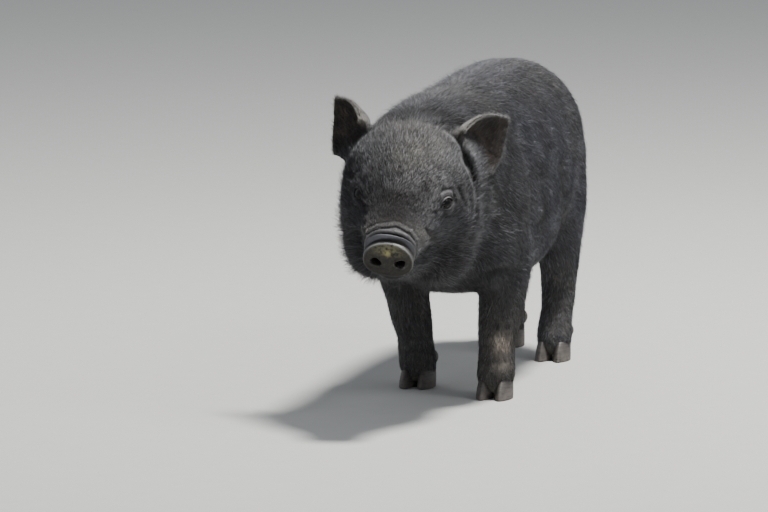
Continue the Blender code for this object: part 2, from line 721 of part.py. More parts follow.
def main():
    for old in list(bpy.data.objects):
        bpy.data.objects.remove(old, do_unlink=True)
    flesh = make_flesh()
    flesh.data.materials.clear()
    flesh.data.materials.append(coat_material())
    add_tail(flesh)
    add_ears(flesh)
    add_disc(flesh)
    add_eyes(flesh)
    part_legs(flesh)
    for name in LEGS:
        add_claws(name)
    part_body(flesh)
    part_jaw(bpy.data.objects["head"])
    for made in list(bpy.data.objects):
        if made.hide_render:
            bpy.data.objects.remove(made, do_unlink=True)
    stand_at_origin()
    for made in bpy.data.objects:
        made.data.shade_smooth()
        made.data.set_sharp_from_angle(angle=SHARP_EDGE)


if __name__ == "__main__":
    main()
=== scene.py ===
"""A museum-style pot-bellied piglet, dressed: one sculpted skin with its bristle coat, eyes, rooting disc
and claws.

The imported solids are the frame. The skin is made from their flesh: welded, smoothed, drawn in by the
coat's depth and sculpted with folds, lids and creases. The head has axes of its own, found from the
eyes: x to its left, y out along the snout and z up. All lengths are in metres.
"""

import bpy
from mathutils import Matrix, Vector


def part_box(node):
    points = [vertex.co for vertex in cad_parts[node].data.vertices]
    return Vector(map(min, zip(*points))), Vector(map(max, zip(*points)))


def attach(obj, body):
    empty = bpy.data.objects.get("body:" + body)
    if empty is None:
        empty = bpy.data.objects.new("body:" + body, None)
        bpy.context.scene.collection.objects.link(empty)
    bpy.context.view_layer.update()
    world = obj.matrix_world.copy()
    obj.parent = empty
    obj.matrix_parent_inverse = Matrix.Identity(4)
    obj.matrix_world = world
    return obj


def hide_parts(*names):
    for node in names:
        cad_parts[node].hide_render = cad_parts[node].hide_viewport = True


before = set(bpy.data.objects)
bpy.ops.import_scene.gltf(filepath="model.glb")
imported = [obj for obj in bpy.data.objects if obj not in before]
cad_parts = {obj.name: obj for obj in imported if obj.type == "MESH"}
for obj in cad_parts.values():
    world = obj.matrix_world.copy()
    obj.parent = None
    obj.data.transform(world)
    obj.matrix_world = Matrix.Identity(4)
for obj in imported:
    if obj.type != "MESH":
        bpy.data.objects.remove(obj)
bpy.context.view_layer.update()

import math

import bpy
import numpy as np
from bpy.props import FloatProperty, FloatVectorProperty, IntProperty, PointerProperty
from mathutils import Matrix

bl_info = {
    "name": "Pot-bellied Piglet",
    "version": (1, 0, 0),
    "blender": (4, 5, 0),
    "location": "View3D > Sidebar > Piglet",
    "description": "Dresses the packed piglet: skin, bristles, eyes, rooting disc, claws and a plain studio",
    "category": "Object",
}

SIDES = {"left": 1.0, "right": -1.0}
FEET = ("foreleg_left", "foreleg_right", "hindleg_left", "hindleg_right")
FLESH = ["head", "jaw", "neck", "trunk_fore", "trunk_barrel", "trunk_hind", "tail"]
FLESH += [f"{foot}_{part}" for foot in FEET for part in ("upper", "lower")]
MAIN_CLAWS = [f"{foot}_claw_{side}" for foot in FEET for side in ("outer", "inner")]
DEWCLAWS = [f"{foot}_dewclaw_{side}" for foot in FEET for side in ("outer", "inner")]

# ---------------------------------------------------------------- the head, in its own axes
HEAD_TURN = math.radians(4.0)
HEAD_PITCH = math.radians(30.0)
HEAD_ROLL = math.radians(6.0)
EYES_IN_HEAD = np.array((0.0, 0.0039, 0.0056))
SNOUT_END = 0.0560
DISC_FRONT = 0.0655
SNOUT_HALF = (0.0176, 0.0145)
DISC_HALF = (0.0171, 0.0131)
# How far its face has sunk below the snout's axis.
DISC_DROP = 0.0024
DISC_ROUNDNESS = 2.2
NOSTRIL_AT = (0.0084, -0.0012)
NOSTRIL_HALF = (0.0036, 0.0031)
NOSTRIL_DEPTH = 0.0062
# Back from the disc's face over its rim, down a crack and over the first fold, as (share of the outline,
# depth).
DISC_RIM = (
    (0.930, -0.0001), (0.955, -0.0004), (0.978, -0.0003), (0.995, 0.0002), (1.008, 0.0009), (1.014, 0.0019),
    (1.014, 0.0029), (1.004, 0.0037), (0.982, 0.0042), (0.955, 0.0045),
)
DISC_FOLD = (
    (0.985, 0.0048), (1.020, 0.0053), (1.045, 0.0059), (1.052, 0.0067), (1.042, 0.0076), (1.015, 0.0083),
    (0.980, 0.0089), (0.950, 0.0095), (0.920, 0.0103),
)
# The mouth's line as (out along the snout, up), from its corner to the front.
MOUTH = ((0.008, -0.0238), (0.012, -0.0235), (0.036, -0.0205), (0.055, -0.0166), (0.075, -0.0163))

# The opening between the lids: half its length and how high its upper and lower edges arch. Then, in the
# head's axes with x to the outside, which way it faces, which way its outer corner lies and how far the
# opening is moved from the ball's middle.
LID_HALF = 0.0062
LID_ARCH = (0.0039, 0.0031)
LID_OUT = (0.75, 0.52, 0.40)
LID_ALONG = (0.573, -0.819, -0.007)
EYE_MOVE = (0.0001, 0.0006, -0.0007)
LID_THICK = 0.0008
# How far under the ball the skin drops within the opening.
LID_SINK = 0.0007

# An ear's length, half its width, how far its base is moved down, its thickness, the least half width of
# its tip, how far its tip leans, half the angle of its cup at the base and the tip in degrees, and how much
# further round its inner side curls.
EAR_LENGTH = 0.0453
EAR_HALF = 0.0210
EAR_DROP = 0.0032
EAR_THICK = 0.0024
EAR_LEAST_HALF = 0.0022
EAR_TIP_TURN = 0.035
EAR_CUP = (66, 34)
EAR_CURL = 0.38
# The middle of each ear's base in the head's axes, its tip's and outer edge's directions in the pig's, how
# far its tip leans to the outside, the two powers of its outline, and how much wider its outer half is.
EARS = {
    "left": {
        "base": (0.0360, -0.038, 0.0155), "tip": (0.35, 0.65, 0.67), "outer": (0.33, 0.36, -0.87),
        "lean": 0.55, "taper": (2.7, 0.75), "wide": 1.16,
    },
    "right": {
        "base": (-0.0404, -0.038, 0.0168), "tip": (-0.31, 0.51, 0.80), "outer": (-0.55, 0.35, -0.76),
        "lean": 0.80, "taper": (2.0, 0.80), "wide": 1.38,
    },
}

# Folds on both sides of the head and neck, in the head's axes with x to the outside. Each has a path, the
# width and depth of its valley, how far and on which side its lip swells, and over what shares of its length
# it fades at its ends.
HEAD_FOLDS = {
    "crown and cheek's back": {
        "path": (
            (0.0, -0.0448, 0.0350), (0.0105, -0.0442, 0.0345), (0.0205, -0.0410, 0.0320),
            (0.0285, -0.0374, 0.0275), (0.0340, -0.0345, 0.0225), (0.0372, -0.0322, 0.0165),
            (0.0398, -0.0295, 0.0105), (0.0425, -0.0302, 0.0020), (0.0445, -0.0268, -0.0045),
            (0.0458, -0.0225, -0.0115), (0.0462, -0.0172, -0.0185), (0.0447, -0.0114, -0.0250),
            (0.0420, -0.0066, -0.0315), (0.0370, -0.0030, -0.0380),
        ),
        "width": 0.0040, "depth": 0.0048, "lip": 0.0018, "toward": (0.0, 1.0, 0.1), "ends": (0.0, 0.2),
    },
    "neck roll": {
        "path": (
            (0.0480, -0.0500, -0.0060), (0.0490, -0.0560, -0.0220), (0.0510, -0.0590, -0.0380),
            (0.0500, -0.0570, -0.0508), (0.0470, -0.0530, -0.0600),
        ),
        "width": 0.0036, "depth": 0.0026, "lip": 0.0022, "toward": (0.0, 1.0, 0.1), "ends": (0.2, 0.3),
    },
    "tear line": {
        "path": ((0.0285, 0.0120, 0.0072), (0.0252, 0.0186, 0.0078), (0.0232, 0.0228, 0.0084)),
        "width": 0.0009, "depth": 0.0007, "lip": 0.0006, "toward": (-0.5, 0.0, 0.9), "ends": (0.1, 0.4),
    },
    "behind the lids": {
        "path": (
            (0.0350, -0.0050, 0.0120), (0.0372, -0.0062, 0.0080), (0.0388, -0.0062, 0.0018),
            (0.0404, -0.0072, -0.0044), (0.0406, -0.0058, -0.0100),
        ),
        "width": 0.0012, "depth": 0.0009, "lip": 0.0010, "toward": (0.0, 1.0, 0.0), "ends": (0.25, 0.3),
    },
    "under the eye": {
        "path": (
            (0.0285, 0.0160, 0.0030), (0.0308, 0.0118, -0.0012), (0.0345, 0.0056, -0.0052),
            (0.0378, -0.0005, -0.0072),
        ),
        "width": 0.0010, "depth": 0.0006, "lip": 0.0005, "toward": (0.0, 0.0, 1.0), "ends": (0.2, 0.2),
    },
    "lip's corner": {
        "path": (
            (0.0215, 0.0400, 0.0110), (0.0235, 0.0350, 0.0030), (0.0240, 0.0300, -0.0060),
            (0.0262, 0.0230, -0.0140), (0.0290, 0.0160, -0.0200),
        ),
        "width": 0.0024, "depth": 0.0010, "lip": 0.0007, "toward": (0.0, 1.0, 0.0), "ends": (0.3, 0.3),
    },
}
# Folds of the trunk and legs, in the pig's axes with x to the outside.
BODY_FOLDS = {
    "over the elbow": {
        "path": (
            (0.030, -0.070, 0.0920), (0.0415, -0.071, 0.0945), (0.0490, -0.067, 0.0965),
            (0.0540, -0.055, 0.0935), (0.0566, -0.042, 0.0930),
        ),
        "width": 0.0030, "depth": 0.0019, "lip": 0.0011, "toward": (0.0, 0.0, 1.0), "ends": (0.3, 0.3),
    },
    "before the thigh": {
        "path": (
            (0.0560, 0.070, 0.1650), (0.0570, 0.078, 0.1400), (0.0540, 0.098, 0.1100),
            (0.0450, 0.122, 0.0820),
        ),
        "width": 0.0090, "depth": 0.0024, "lip": 0.0008, "toward": (0.0, 1.0, 0.0), "ends": (0.2, 0.2),
    },
    "behind the shoulder": {
        "path": (
            (0.0500, 0.022, 0.1700), (0.0545, 0.024, 0.1400), (0.0520, 0.022, 0.1100),
            (0.0400, 0.016, 0.0860),
        ),
        "width": 0.0070, "depth": 0.0016, "lip": 0.0, "toward": (0.0, 1.0, 0.0), "ends": (0.2, 0.2),
    },
}

WHOLE_TURN = 2.0 * math.pi


# ---------------------------------------------------------------- settings that a user would change
class PigletSkinSettings(bpy.types.PropertyGroup):
    voxel: FloatProperty(
        name="Voxel", description="Grain of the weld that makes one skin", default=0.0008, unit="LENGTH"
    )
    closing: FloatProperty(
        name="Closing", description="Growth that closes the thin cuts", default=0.0004, unit="LENGTH"
    )
    triangles: IntProperty(
        name="Triangles", description="Triangles left before lids and folds are refined", default=95500
    )
    coat_depth: FloatProperty(
        name="Coat depth", description="How far the skin lies inside the body's solids", default=0.0016,
        unit="LENGTH",
    )


class PigletCoatSettings(bpy.types.PropertyGroup):
    body_length: FloatProperty(
        name="Body bristle", description="Length on the body", default=0.0062, unit="LENGTH"
    )
    body_width: FloatProperty(
        name="Bristle width", description="Width at the root", default=0.00021, unit="LENGTH"
    )
    seed: IntProperty(name="Seed", description="Start of the random draws", default=7)


class PigletColourSettings(bpy.types.PropertyGroup):
    skin: FloatVectorProperty(
        name="Skin", description="Body skin", subtype="COLOR", size=3, min=0, max=1,
        default=(0.0190, 0.0185, 0.0200),
    )
    # Dust, also painted on the legs as painted light.
    dust: FloatVectorProperty(
        name="Dust", description="Dry dust on the forehead and rump", subtype="COLOR", size=3, min=0, max=1,
        default=(0.155, 0.145, 0.118),
    )
    # Hairless skin, with painted light on the upper lids and by each eye.
    bare: FloatVectorProperty(
        name="Bare skin", description="Snout's folds and the lids", subtype="COLOR", size=3, min=0, max=1,
        default=(0.120, 0.115, 0.120),
    )
    bristle: FloatVectorProperty(
        name="Bristle", description="The coat's bristles", subtype="COLOR", size=3, min=0, max=1,
        default=(0.0860, 0.0865, 0.0960),
    )


class PigletStageSettings(bpy.types.PropertyGroup):
    azimuth: FloatProperty(
        name="Azimuth", description="Camera's way round the pig", default=math.radians(15.84), subtype="ANGLE"
    )
    elevation: FloatProperty(
        name="Elevation", description="Camera's angle above the floor", default=math.radians(8.01),
        subtype="ANGLE",
    )
    distance: FloatProperty(name="Distance", description="Camera to the pig", default=3.5, unit="LENGTH")
    lens: FloatProperty(name="Lens", description="Focal length in millimetres", default=229.7)


SETTINGS = {
    "piglet_skin": PigletSkinSettings,
    "piglet_coat": PigletCoatSettings,
    "piglet_colours": PigletColourSettings,
    "piglet_stage": PigletStageSettings,
}


# ---------------------------------------------------------------- whole-array helpers
def step(value, start, end):
    """Rises smoothly from 0 at the start to 1 at the end: 3s^2 - 2s^3 of the share s of the way."""
    share = np.clip((value - start) / (end - start), 0.0, 1.0)
    return share * share * (3.0 - 2.0 * share)


def hump(value, middle, width):
    """A bell that is 1 at the middle and 1/e a width away."""
    return np.exp(-(((value - middle) / width) ** 2))


def unit(vectors):
    """Each row divided by its length."""
    return vectors / np.maximum(np.linalg.norm(vectors, axis=-1, keepdims=True), 1e-12)


def flat_to(vectors, normals):
    """Each vector less its share along the normal, made a unit: its direction within the surface."""
    return unit(vectors - normals * (vectors * normals).sum(axis=-1, keepdims=True))


def through(rows, count):
    """Count samples of the Catmull-Rom curve through the rows, column by column."""
    rows = np.asarray(rows, float)
    place = np.linspace(0, len(rows) - 1, count)
    first = np.clip(place.astype(int), 0, len(rows) - 2)
    f = (place - first)[:, None]
    padded = np.vstack([2 * rows[0] - rows[1], rows, 2 * rows[-1] - rows[-2]])
    a, b, c, d = (padded[first + k] for k in range(4))
    cubic = 3 * b - a - 3 * c + d
    square = 2 * a - 5 * b + 4 * c - d
    return 0.5 * (2 * b + (c - a) * f + square * f**2 + cubic * f**3)


def ripple(points, wavelength, seed):
    """A smooth wander between about -1 and 1: the mean of five sine waves in random directions."""
    rng = np.random.default_rng(seed)
    waves = unit(rng.normal(size=(5, 3))) * WHOLE_TURN / (wavelength * rng.uniform(0.75, 1.35, (5, 1)))
    return np.sin(points @ waves.T + rng.uniform(0, WHOLE_TURN, 5)).mean(axis=1) * 1.6


class Axes:
    """A place and three unit directions, as columns. Whole arrays of points go in and out of it."""

    def __init__(self, origin, columns):
        self.origin = np.asarray(origin, float)
        self.columns = np.asarray(columns, float)

    def inside(self, points):
        """Points given in these axes."""
        return (points - self.origin) @ self.columns

    def outside(self, local):
        """Points of these axes given in the pig's."""
        return self.origin + np.asarray(local, float) @ self.columns.T

    def turn_out(self, local):
        """Directions of these axes given in the pig's."""
        return np.asarray(local, float) @ self.columns.T


def box_of(node):
    """A CAD node's box as an array of its low and high corners."""
    return np.array([list(corner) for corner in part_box(node)])


def head_axes():
    """The head's axes: turned, pitched and rolled, through the point between the eyeballs."""
    turned = Matrix.Rotation(HEAD_TURN, 3, "Z") @ Matrix.Rotation(HEAD_PITCH, 3, "X")
    turned = turned @ Matrix.Rotation(HEAD_ROLL, 3, "Y")
    columns = np.array(turned @ Matrix.Diagonal((1.0, -1.0, 1.0)))
    between = np.mean([box_of("eye_left").mean(axis=0), box_of("eye_right").mean(axis=0)], axis=0)
    return Axes(between - columns @ EYES_IN_HEAD, columns)


HEAD = head_axes()


def ear_axes(side):
    """An ear's axes at its base: x to its outer edge, y to its tip and z out of its opening."""
    ear = EARS[side]
    tip, outer = unit(np.array(ear["tip"])), np.array(ear["outer"])
    outer = unit(outer - tip * (outer @ tip))
    base = HEAD.outside(ear["base"]) + outer * EAR_DROP
    tip = unit(tip - outer * EAR_TIP_TURN)
    opening = np.cross(tip, outer)
    opening = unit(-opening if opening[1] > 0 else opening)
    return Axes(base, np.stack([outer, tip, opening], axis=1))


def ear_section(u, v, side):
    """Where the ear's cupped leaf is at shares u along it and v across, as (across, depth, angle).

    Across it is an arc, wider to the outside and flatter toward the tip, that curls further round on its
    inner side. Its half width falls off as (1 - u^a)^b, and the whole leans outward as it narrows."""
    lean, (power, fall) = EARS[side]["lean"], EARS[side]["taper"]
    out = np.maximum(u, 0.0)
    lobe = 1.0 - 0.20 * (1.0 - np.minimum(out / 0.38, 1.0)) ** 2
    half = np.maximum(EAR_HALF * np.maximum(1.0 - out**power, 0.0) ** fall * lobe, EAR_LEAST_HALF)
    spread = np.radians(EAR_CUP[0] - EAR_CUP[1] * out)
    outer_side = 0.80 + (EARS[side]["wide"] - 0.80) * step(u, -0.12, 0.20) - 0.16 * step(u, 0.40, 0.85)
    inner_side = 0.92 - 0.16 * step(u, 0.10, 0.50)
    curled = spread * (1.0 + EAR_CURL * step(u, -0.02, 0.16) * (1.0 - step(u, 0.30, 0.85)))
    middle = half / np.sin(spread) * (1.0 - np.cos(spread))
    inner = v < 0
    angle = v * np.where(inner, curled, spread)
    inner_radius = half * inner_side / np.sin(np.minimum(curled, math.pi / 2))
    radius = np.where(inner, inner_radius, half / np.sin(spread))
    across = radius * np.sin(angle) * np.where(inner, 1.0, outer_side) + lean * (EAR_HALF - half)
    return across, middle - radius * (1.0 - np.cos(angle)), angle


EAR_AXES = {side: ear_axes(side) for side in SIDES}


def eye_axes(side):
    """An eye's axes at its middle: x from the lids' inner corner to the outer, y up, z out of the head."""
    outward = np.array((SIDES[side], 1.0, 1.0))
    out = unit(HEAD.turn_out(LID_OUT * outward))
    along = HEAD.turn_out(LID_ALONG * outward)
    along = unit(along - out * (along @ out))
    up = np.cross(out, along)
    up = up if up[2] > 0 else -up
    middle = box_of("eye_" + side).mean(axis=0) + HEAD.turn_out(EYE_MOVE * outward)
    return Axes(middle, np.stack([along, up, out], axis=1))


EYE_AXES = {side: eye_axes(side) for side in SIDES}
EYE_RADIUS = float(np.ptp(box_of("eye_left"), axis=0).max()) / 2


# ---------------------------------------------------------------- meshes and objects
def read(items, name, width, kind=np.float32):
    """One value of each item of a mesh, as rows."""
    found = np.empty(len(items) * width, kind)
    items.foreach_get(name, found)
    return found.reshape(-1, width).astype(float if kind == np.float32 else int)


def new_object(name, points, faces, finish=None):
    """A shown object at the origin from an array of points and arrays of triangles and quads."""
    mesh = bpy.data.meshes.new(name)
    sizes = np.concatenate([np.full(len(part), part.shape[1]) for part in faces])
    corners = np.concatenate([part.ravel() for part in faces])
    mesh.vertices.add(len(points))
    mesh.vertices.foreach_set("co", np.asarray(points, np.float32).ravel())
    mesh.loops.add(len(corners))
    mesh.loops.foreach_set("vertex_index", corners.astype(np.int32))
    mesh.polygons.add(len(sizes))
    mesh.polygons.foreach_set("loop_start", (np.cumsum(sizes) - sizes).astype(np.int32))
    mesh.update(calc_edges=True)
    mesh.shade_smooth()
    made = bpy.data.objects.new(name, mesh)
    bpy.context.scene.collection.objects.link(made)
    if finish is not None:
        mesh.materials.append(finish)
    return made


def put(made, name, values):
    """Keeps one number for each point of a mesh, for its material to read."""
    kept = made.data.attributes.new(name, "FLOAT", "POINT")
    kept.data.foreach_set("value", np.asarray(values, np.float32))


def ball_angles(rows, columns, start, end):
    """The angle from the pole and the turn round it, on a grid of rows by columns."""
    turn = np.linspace(0, WHOLE_TURN, columns, endpoint=False)
    return np.meshgrid(np.linspace(start, end, rows), turn, indexing="ij")


def strip_faces(rows, columns):
    """Quads that join each row of points to the next, and the last column to the first."""
    row, column = np.meshgrid(np.arange(rows - 1), np.arange(columns), indexing="ij")
    beside = (column + 1) % columns
    low, high = row * columns, (row + 1) * columns
    return np.stack([low + column, low + beside, high + beside, high + column]).reshape(4, -1).T


def closed_strip(rings):
    """Points and faces of a closed skin over rings of equal count, its ends fanned to their middles."""
    rows, columns, _ = rings.shape
    points = np.vstack([rings.reshape(-1, 3), rings[0].mean(axis=0), rings[-1].mean(axis=0)])
    k = np.arange(columns)
    beside = (k + 1) % columns
    start = np.stack([np.full(columns, rows * columns), beside, k], axis=1)
    last = (rows - 1) * columns
    end = np.stack([np.full(columns, rows * columns + 1), last + k, last + beside], axis=1)
    return faced_out(points, [strip_faces(rows, columns), start, end])


def faced_out(points, faces):
    """The same faces, all turned round if they enclose a negative volume."""
    volume = 0.0
    for part in faces:
        a, b, c = (points[part[:, k]] for k in range(3))
        volume += np.einsum("ij,ij->", a, np.cross(b, c))
        if part.shape[1] == 4:
            a, b, c = points[part[:, 0]], points[part[:, 2]], points[part[:, 3]]
            volume += np.einsum("ij,ij->", a, np.cross(b, c))
    return points, faces if volume > 0 else [part[:, ::-1] for part in faces]


def welded_node(node, grow):
    """Points and triangles of a CAD node with equal corners merged, moved out along their normals."""
    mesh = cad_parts[node].data
    mesh.calc_loop_triangles()
    points = read(mesh.vertices, "co", 3)
    triangles = read(mesh.loop_triangles, "vertices", 3, np.int32)
    _, first, index = np.unique(np.round(points, 6), axis=0, return_index=True, return_inverse=True)
    points, triangles = points[first], index.reshape(-1)[triangles]
    a, b, c = (points[triangles[:, k]] for k in range(3))
    face = np.cross(b - a, c - a)
    normals = np.zeros_like(points)
    for k in range(3):
        np.add.at(normals, triangles[:, k], face)
    return points + grow * unit(normals), [triangles]


def ear_mesh(side):
    """The ear as a closed leaf: its cupped inside, and its back a thickness behind it.

    Three low ridges run up the inside from the base, a knob swells low by the outer edge, the rim rolls
    inward a little, and the edge nearer the crown is a thick roll that thins toward the tip."""
    stations = np.append(np.linspace(-0.20, 0.90, 44), (0.94, 0.97, 0.99, 1.0))
    u, v = np.meshgrid(stations, np.linspace(-1, 1, 47), indexing="ij")
    across, depth, angle = ear_section(u, v, side)
    ridges = 0.0006 * np.cos(v * 3.5 * math.pi) * hump(u, 0.25, 0.28) * (1 - v**2)
    knob = 0.0030 * hump(v, 0.62, 0.20) * hump(u, 0.10, 0.10)
    roll = 0.0009 * step(np.abs(v), 0.80, 1.0) * step(u, 0.0, 0.3)
    thick = EAR_THICK * (1 - 0.30 * np.maximum(u, 0.0)) * (1 - 0.12 * np.abs(v) ** 3)
    thick = thick + 0.0010 * step(-v, 0.45, 0.90) * (1 - step(u, 0.15, 0.60))
    inside = np.stack([across - roll * np.sign(v), EAR_LENGTH * u, knob + ridges - depth], axis=-1)
    away = np.stack([np.sin(angle), np.zeros_like(u), -np.cos(angle)], axis=-1)
    rings = np.concatenate([inside, (inside + away * (thick + ridges + knob)[..., None])[:, ::-1]], axis=1)
    return closed_strip(EAR_AXES[side].outside(rings))


def joined(name, parts):
    """One object from several pairs of points and faces."""
    start, points, faces = 0, [], []
    for part_points, part_faces in parts:
        points.append(part_points)
        faces += [face + start for face in part_faces]
        start += len(part_points)
    return new_object(name, np.vstack(points), faces)


def settle(made):
    """Replaces the object's mesh by what its modifiers make of it, and drops them."""
    graph = bpy.context.evaluated_depsgraph_get()
    data = bpy.data.meshes.new_from_object(made.evaluated_get(graph))
    old = made.data
    made.modifiers.clear()
    made.data = data
    bpy.data.meshes.remove(old)


def weight_by(made, name, weights):
    """Makes a vertex group with a weight for each vertex, in twentieths, and returns its name."""
    group = made.vertex_groups.new(name=name)
    twentieths = np.round(weights * 20)
    for level in range(1, 21):
        group.add(np.flatnonzero(twentieths == level).tolist(), level / 20, "REPLACE")
    return group.name


def relax(made, times, weights):
    """Smooths the surface, by more where its weight is greater."""
    smooth = made.modifiers.new("relax", "SMOOTH")
    smooth.factor = 0.5
    smooth.iterations = times
    smooth.vertex_group = weight_by(made, "relaxed", weights)
    settle(made)


def refine(made, near):
    """Splits every edge whose two points are both marked as near."""
    made.data.vertices.foreach_set("select", near)
    bpy.ops.object.select_all(action="DESELECT")
    made.select_set(True)
    bpy.context.view_layer.objects.active = made
    bpy.context.tool_settings.mesh_select_mode = (True, False, False)
    made.data.polygons.foreach_set("select", np.zeros(len(made.data.polygons), bool))
    made.data.edges.foreach_set("select", np.zeros(len(made.data.edges), bool))
    bpy.ops.object.mode_set(mode="EDIT")
    bpy.ops.mesh.select_mode(type="VERT")
    bpy.ops.mesh.subdivide(number_cuts=1, ngon=False, quadcorner="INNERVERT")
    bpy.ops.object.mode_set(mode="OBJECT")


# ---------------------------------------------------------------- where things are on the pig
def ear_share(points):
    """How much of an ear each point belongs to, its place along and across it, and if it is on its front."""
    share, along, across, front = (np.zeros(len(points)) for _ in range(4))
    for side, axes in EAR_AXES.items():
        a, y, z = axes.inside(points).T
        u = y / EAR_LENGTH
        grid = np.linspace(-1.15, 1.15, 24)
        grid_across, grid_depth, _ = ear_section(np.clip(u, -0.1, 1.0)[:, None], grid[None, :], side)
        off = (grid_across - a[:, None]) ** 2 + (grid_depth + z[:, None]) ** 2
        nearest = off.argmin(axis=1)
        rows = np.arange(len(points))
        near = 1.0 - step(np.sqrt(off[rows, nearest]), 0.0038, 0.0065)
        near *= step(u, 0.02, 0.16) * (u < 1.12)
        better = near > share
        share = np.where(better, near, share)
        along = np.where(better, u, along)
        across = np.where(better, grid[nearest], across)
        front = np.where(better, z + grid_depth[rows, nearest] > -0.0009, front)
    return share, along, across, front


class Places:
    """Which part of the pig each point is on, as weights between 0 and 1."""

    def __init__(self, points):
        self.points = points
        self.local = HEAD.inside(points)
        y, z = self.local.T[1:]
        self.ear, self.ear_along, self.ear_across, self.ear_front = ear_share(points)
        self.leg = 1.0 - step(points[:, 2], 0.060, 0.088)
        self.head = step(y, -0.062, -0.040) * (1 - self.ear) * (1 - self.leg) * (1 - step(-z, 0.066, 0.076))
        self.snout = step(y, 0.022, 0.042) * step(z, -0.060, -0.045)
        self.foot = 1.0 - step(points[:, 2], 0.020, 0.040)
        self.belly = (1 - step(points[:, 2], 0.075, 0.115)) * (1 - self.leg) * (1 - self.head)
        tail_box = box_of("tail")
        self.tail = step(points[:, 1], tail_box[0, 1], tail_box[0, 1] + 0.014) * (np.abs(points[:, 0]) < 0.03)
        self.tail *= step(tail_box[1, 2] - points[:, 2], 0.006, 0.014)
        self.crest = hump(points[:, 0], 0.0, 0.022) * step(points[:, 2], 0.185, 0.205) * (1 - self.ear)


def ear_rim(places):
    """The pale edges of the ears: a thin line on the outside, and a broad furry roll nearer the crown."""
    outer = step(places.ear_across, 0.88, 1.0)
    roll = step(-places.ear_across, 0.62, 0.95) * (1 - 0.5 * step(places.ear_along, 0.4, 0.9))
    tip = step(places.ear_along, 0.90, 1.02)
    return places.ear * np.maximum.reduce([0.5 * outer, roll, 0.7 * tip])


def dust_and_leg_light(places):
    """How dusty each point is: the forehead most, then the lips' corners, rump and back, wrists and toes.
    Each whole leg is also painted paler: painted light that stands in for light on the legs.
    """
    x, y, z = places.local.T
    py, pz = places.points.T[1:]
    ragged = 0.5 + 0.5 * ripple(places.points, 0.012, 3) + 0.25 * ripple(places.points, 0.004, 4)
    forehead = hump(x, 0.004, 0.027) * step(y, -0.0450, -0.0410)
    forehead = forehead * (1 - step(y, -0.002, 0.018)) * step(z, 0.008, 0.022)
    back = step(pz, 0.185, 0.220) * step(py, -0.09, -0.04)
    collar = hump(y, -0.041, 0.0080) * step(np.abs(x), 0.036, 0.044)
    collar = collar * step(-z, -0.004, 0.004) * (1 - step(-z, 0.034, 0.046))
    rump = hump(py, 0.125, 0.050) * step(pz, 0.120, 0.185) * (1 - places.head)
    lips = hump(np.abs(x), 0.0195, 0.0055) * hump(y, 0.0445, 0.0090) * hump(z, 0.002, 0.0095)
    bridge = hump(y, 0.0475, 0.0050) * step(z, 0.004, 0.012)
    # Dust on the toes, and painted light on the legs: each whole leg is painted paler.
    toes = (1 - step(pz, 0.004, 0.026)) * 0.40 + 0.60 * places.leg
    total = 0.85 * forehead + 0.30 * collar + 0.46 * rump + 0.56 * back + 0.80 * lips + 0.50 * bridge + toes
    return np.clip(total * (0.55 + 0.6 * ragged) * (1 - places.ear), 0, 1)


def fold_push(points, fold):
    """How far a fold pushes each point along its normal, and how deep in its valley the point is.

    The path is first laid on the surface, at its nearest points. The valley is a bell across it, and the
    lip a wider bell a step to one side; both fade at the path's ends."""
    path = through(fold["path"], 80)
    reach = 0.004 + 3 * fold["width"]
    within = (points > path.min(axis=0) - reach) & (points < path.max(axis=0) + reach)
    near = np.flatnonzero(within.all(axis=1))
    push, valley = np.zeros(len(points)), np.zeros(len(points))
    distance = np.linalg.norm(points[near][:, None, :] - path[None, :, :], axis=2)
    laid = np.pad(points[near][distance.argmin(axis=0)], ((7, 7), (0, 0)), mode="edge")
    path = np.mean([laid[k : k + len(path)] for k in range(15)], axis=0)
    gap = points[near][:, None, :] - path[None, :, :]
    distance = np.linalg.norm(gap, axis=2)
    best = distance.argmin(axis=1)
    rows = np.arange(len(near))
    share = best / (len(path) - 1.0)
    start, end = (max(fade, 1e-6) for fade in fold["ends"])
    ends = step(share, -1e-9, start) * (1 - step(share, 1 - end, 1.0 + 1e-9))
    lip_path = unit(np.array(fold["toward"])) * fold["width"] * 1.5
    lip_away = np.linalg.norm(gap[rows, best] - lip_path, axis=1)
    valley[near] = hump(distance[rows, best], 0.0, fold["width"]) * ends
    push[near] = -fold["depth"] * valley[near] + fold["lip"] * hump(lip_away, 0.0, fold["width"] * 1.1) * ends
    return push, valley


# ---------------------------------------------------------------- sculpting the skin
def wrist_patch(places):
    """How worn each point is: a pale tan patch on the front of each wrist."""
    px, py, pz = places.points.T
    stripes = 0.75 + 0.25 * np.sin(pz * 3400.0 + 2.0 * ripple(places.points, 0.012, 51))
    front = step(-py, 0.042, 0.049) * places.leg
    patch = 1.35 * hump(pz, 0.0400, 0.0066) + 0.45 * hump(pz, 0.0245, 0.0050)
    return np.clip(patch * front * hump(px, np.where(px > 0, 0.0455, -0.0270), 0.0070) * stripes, 0, 1)


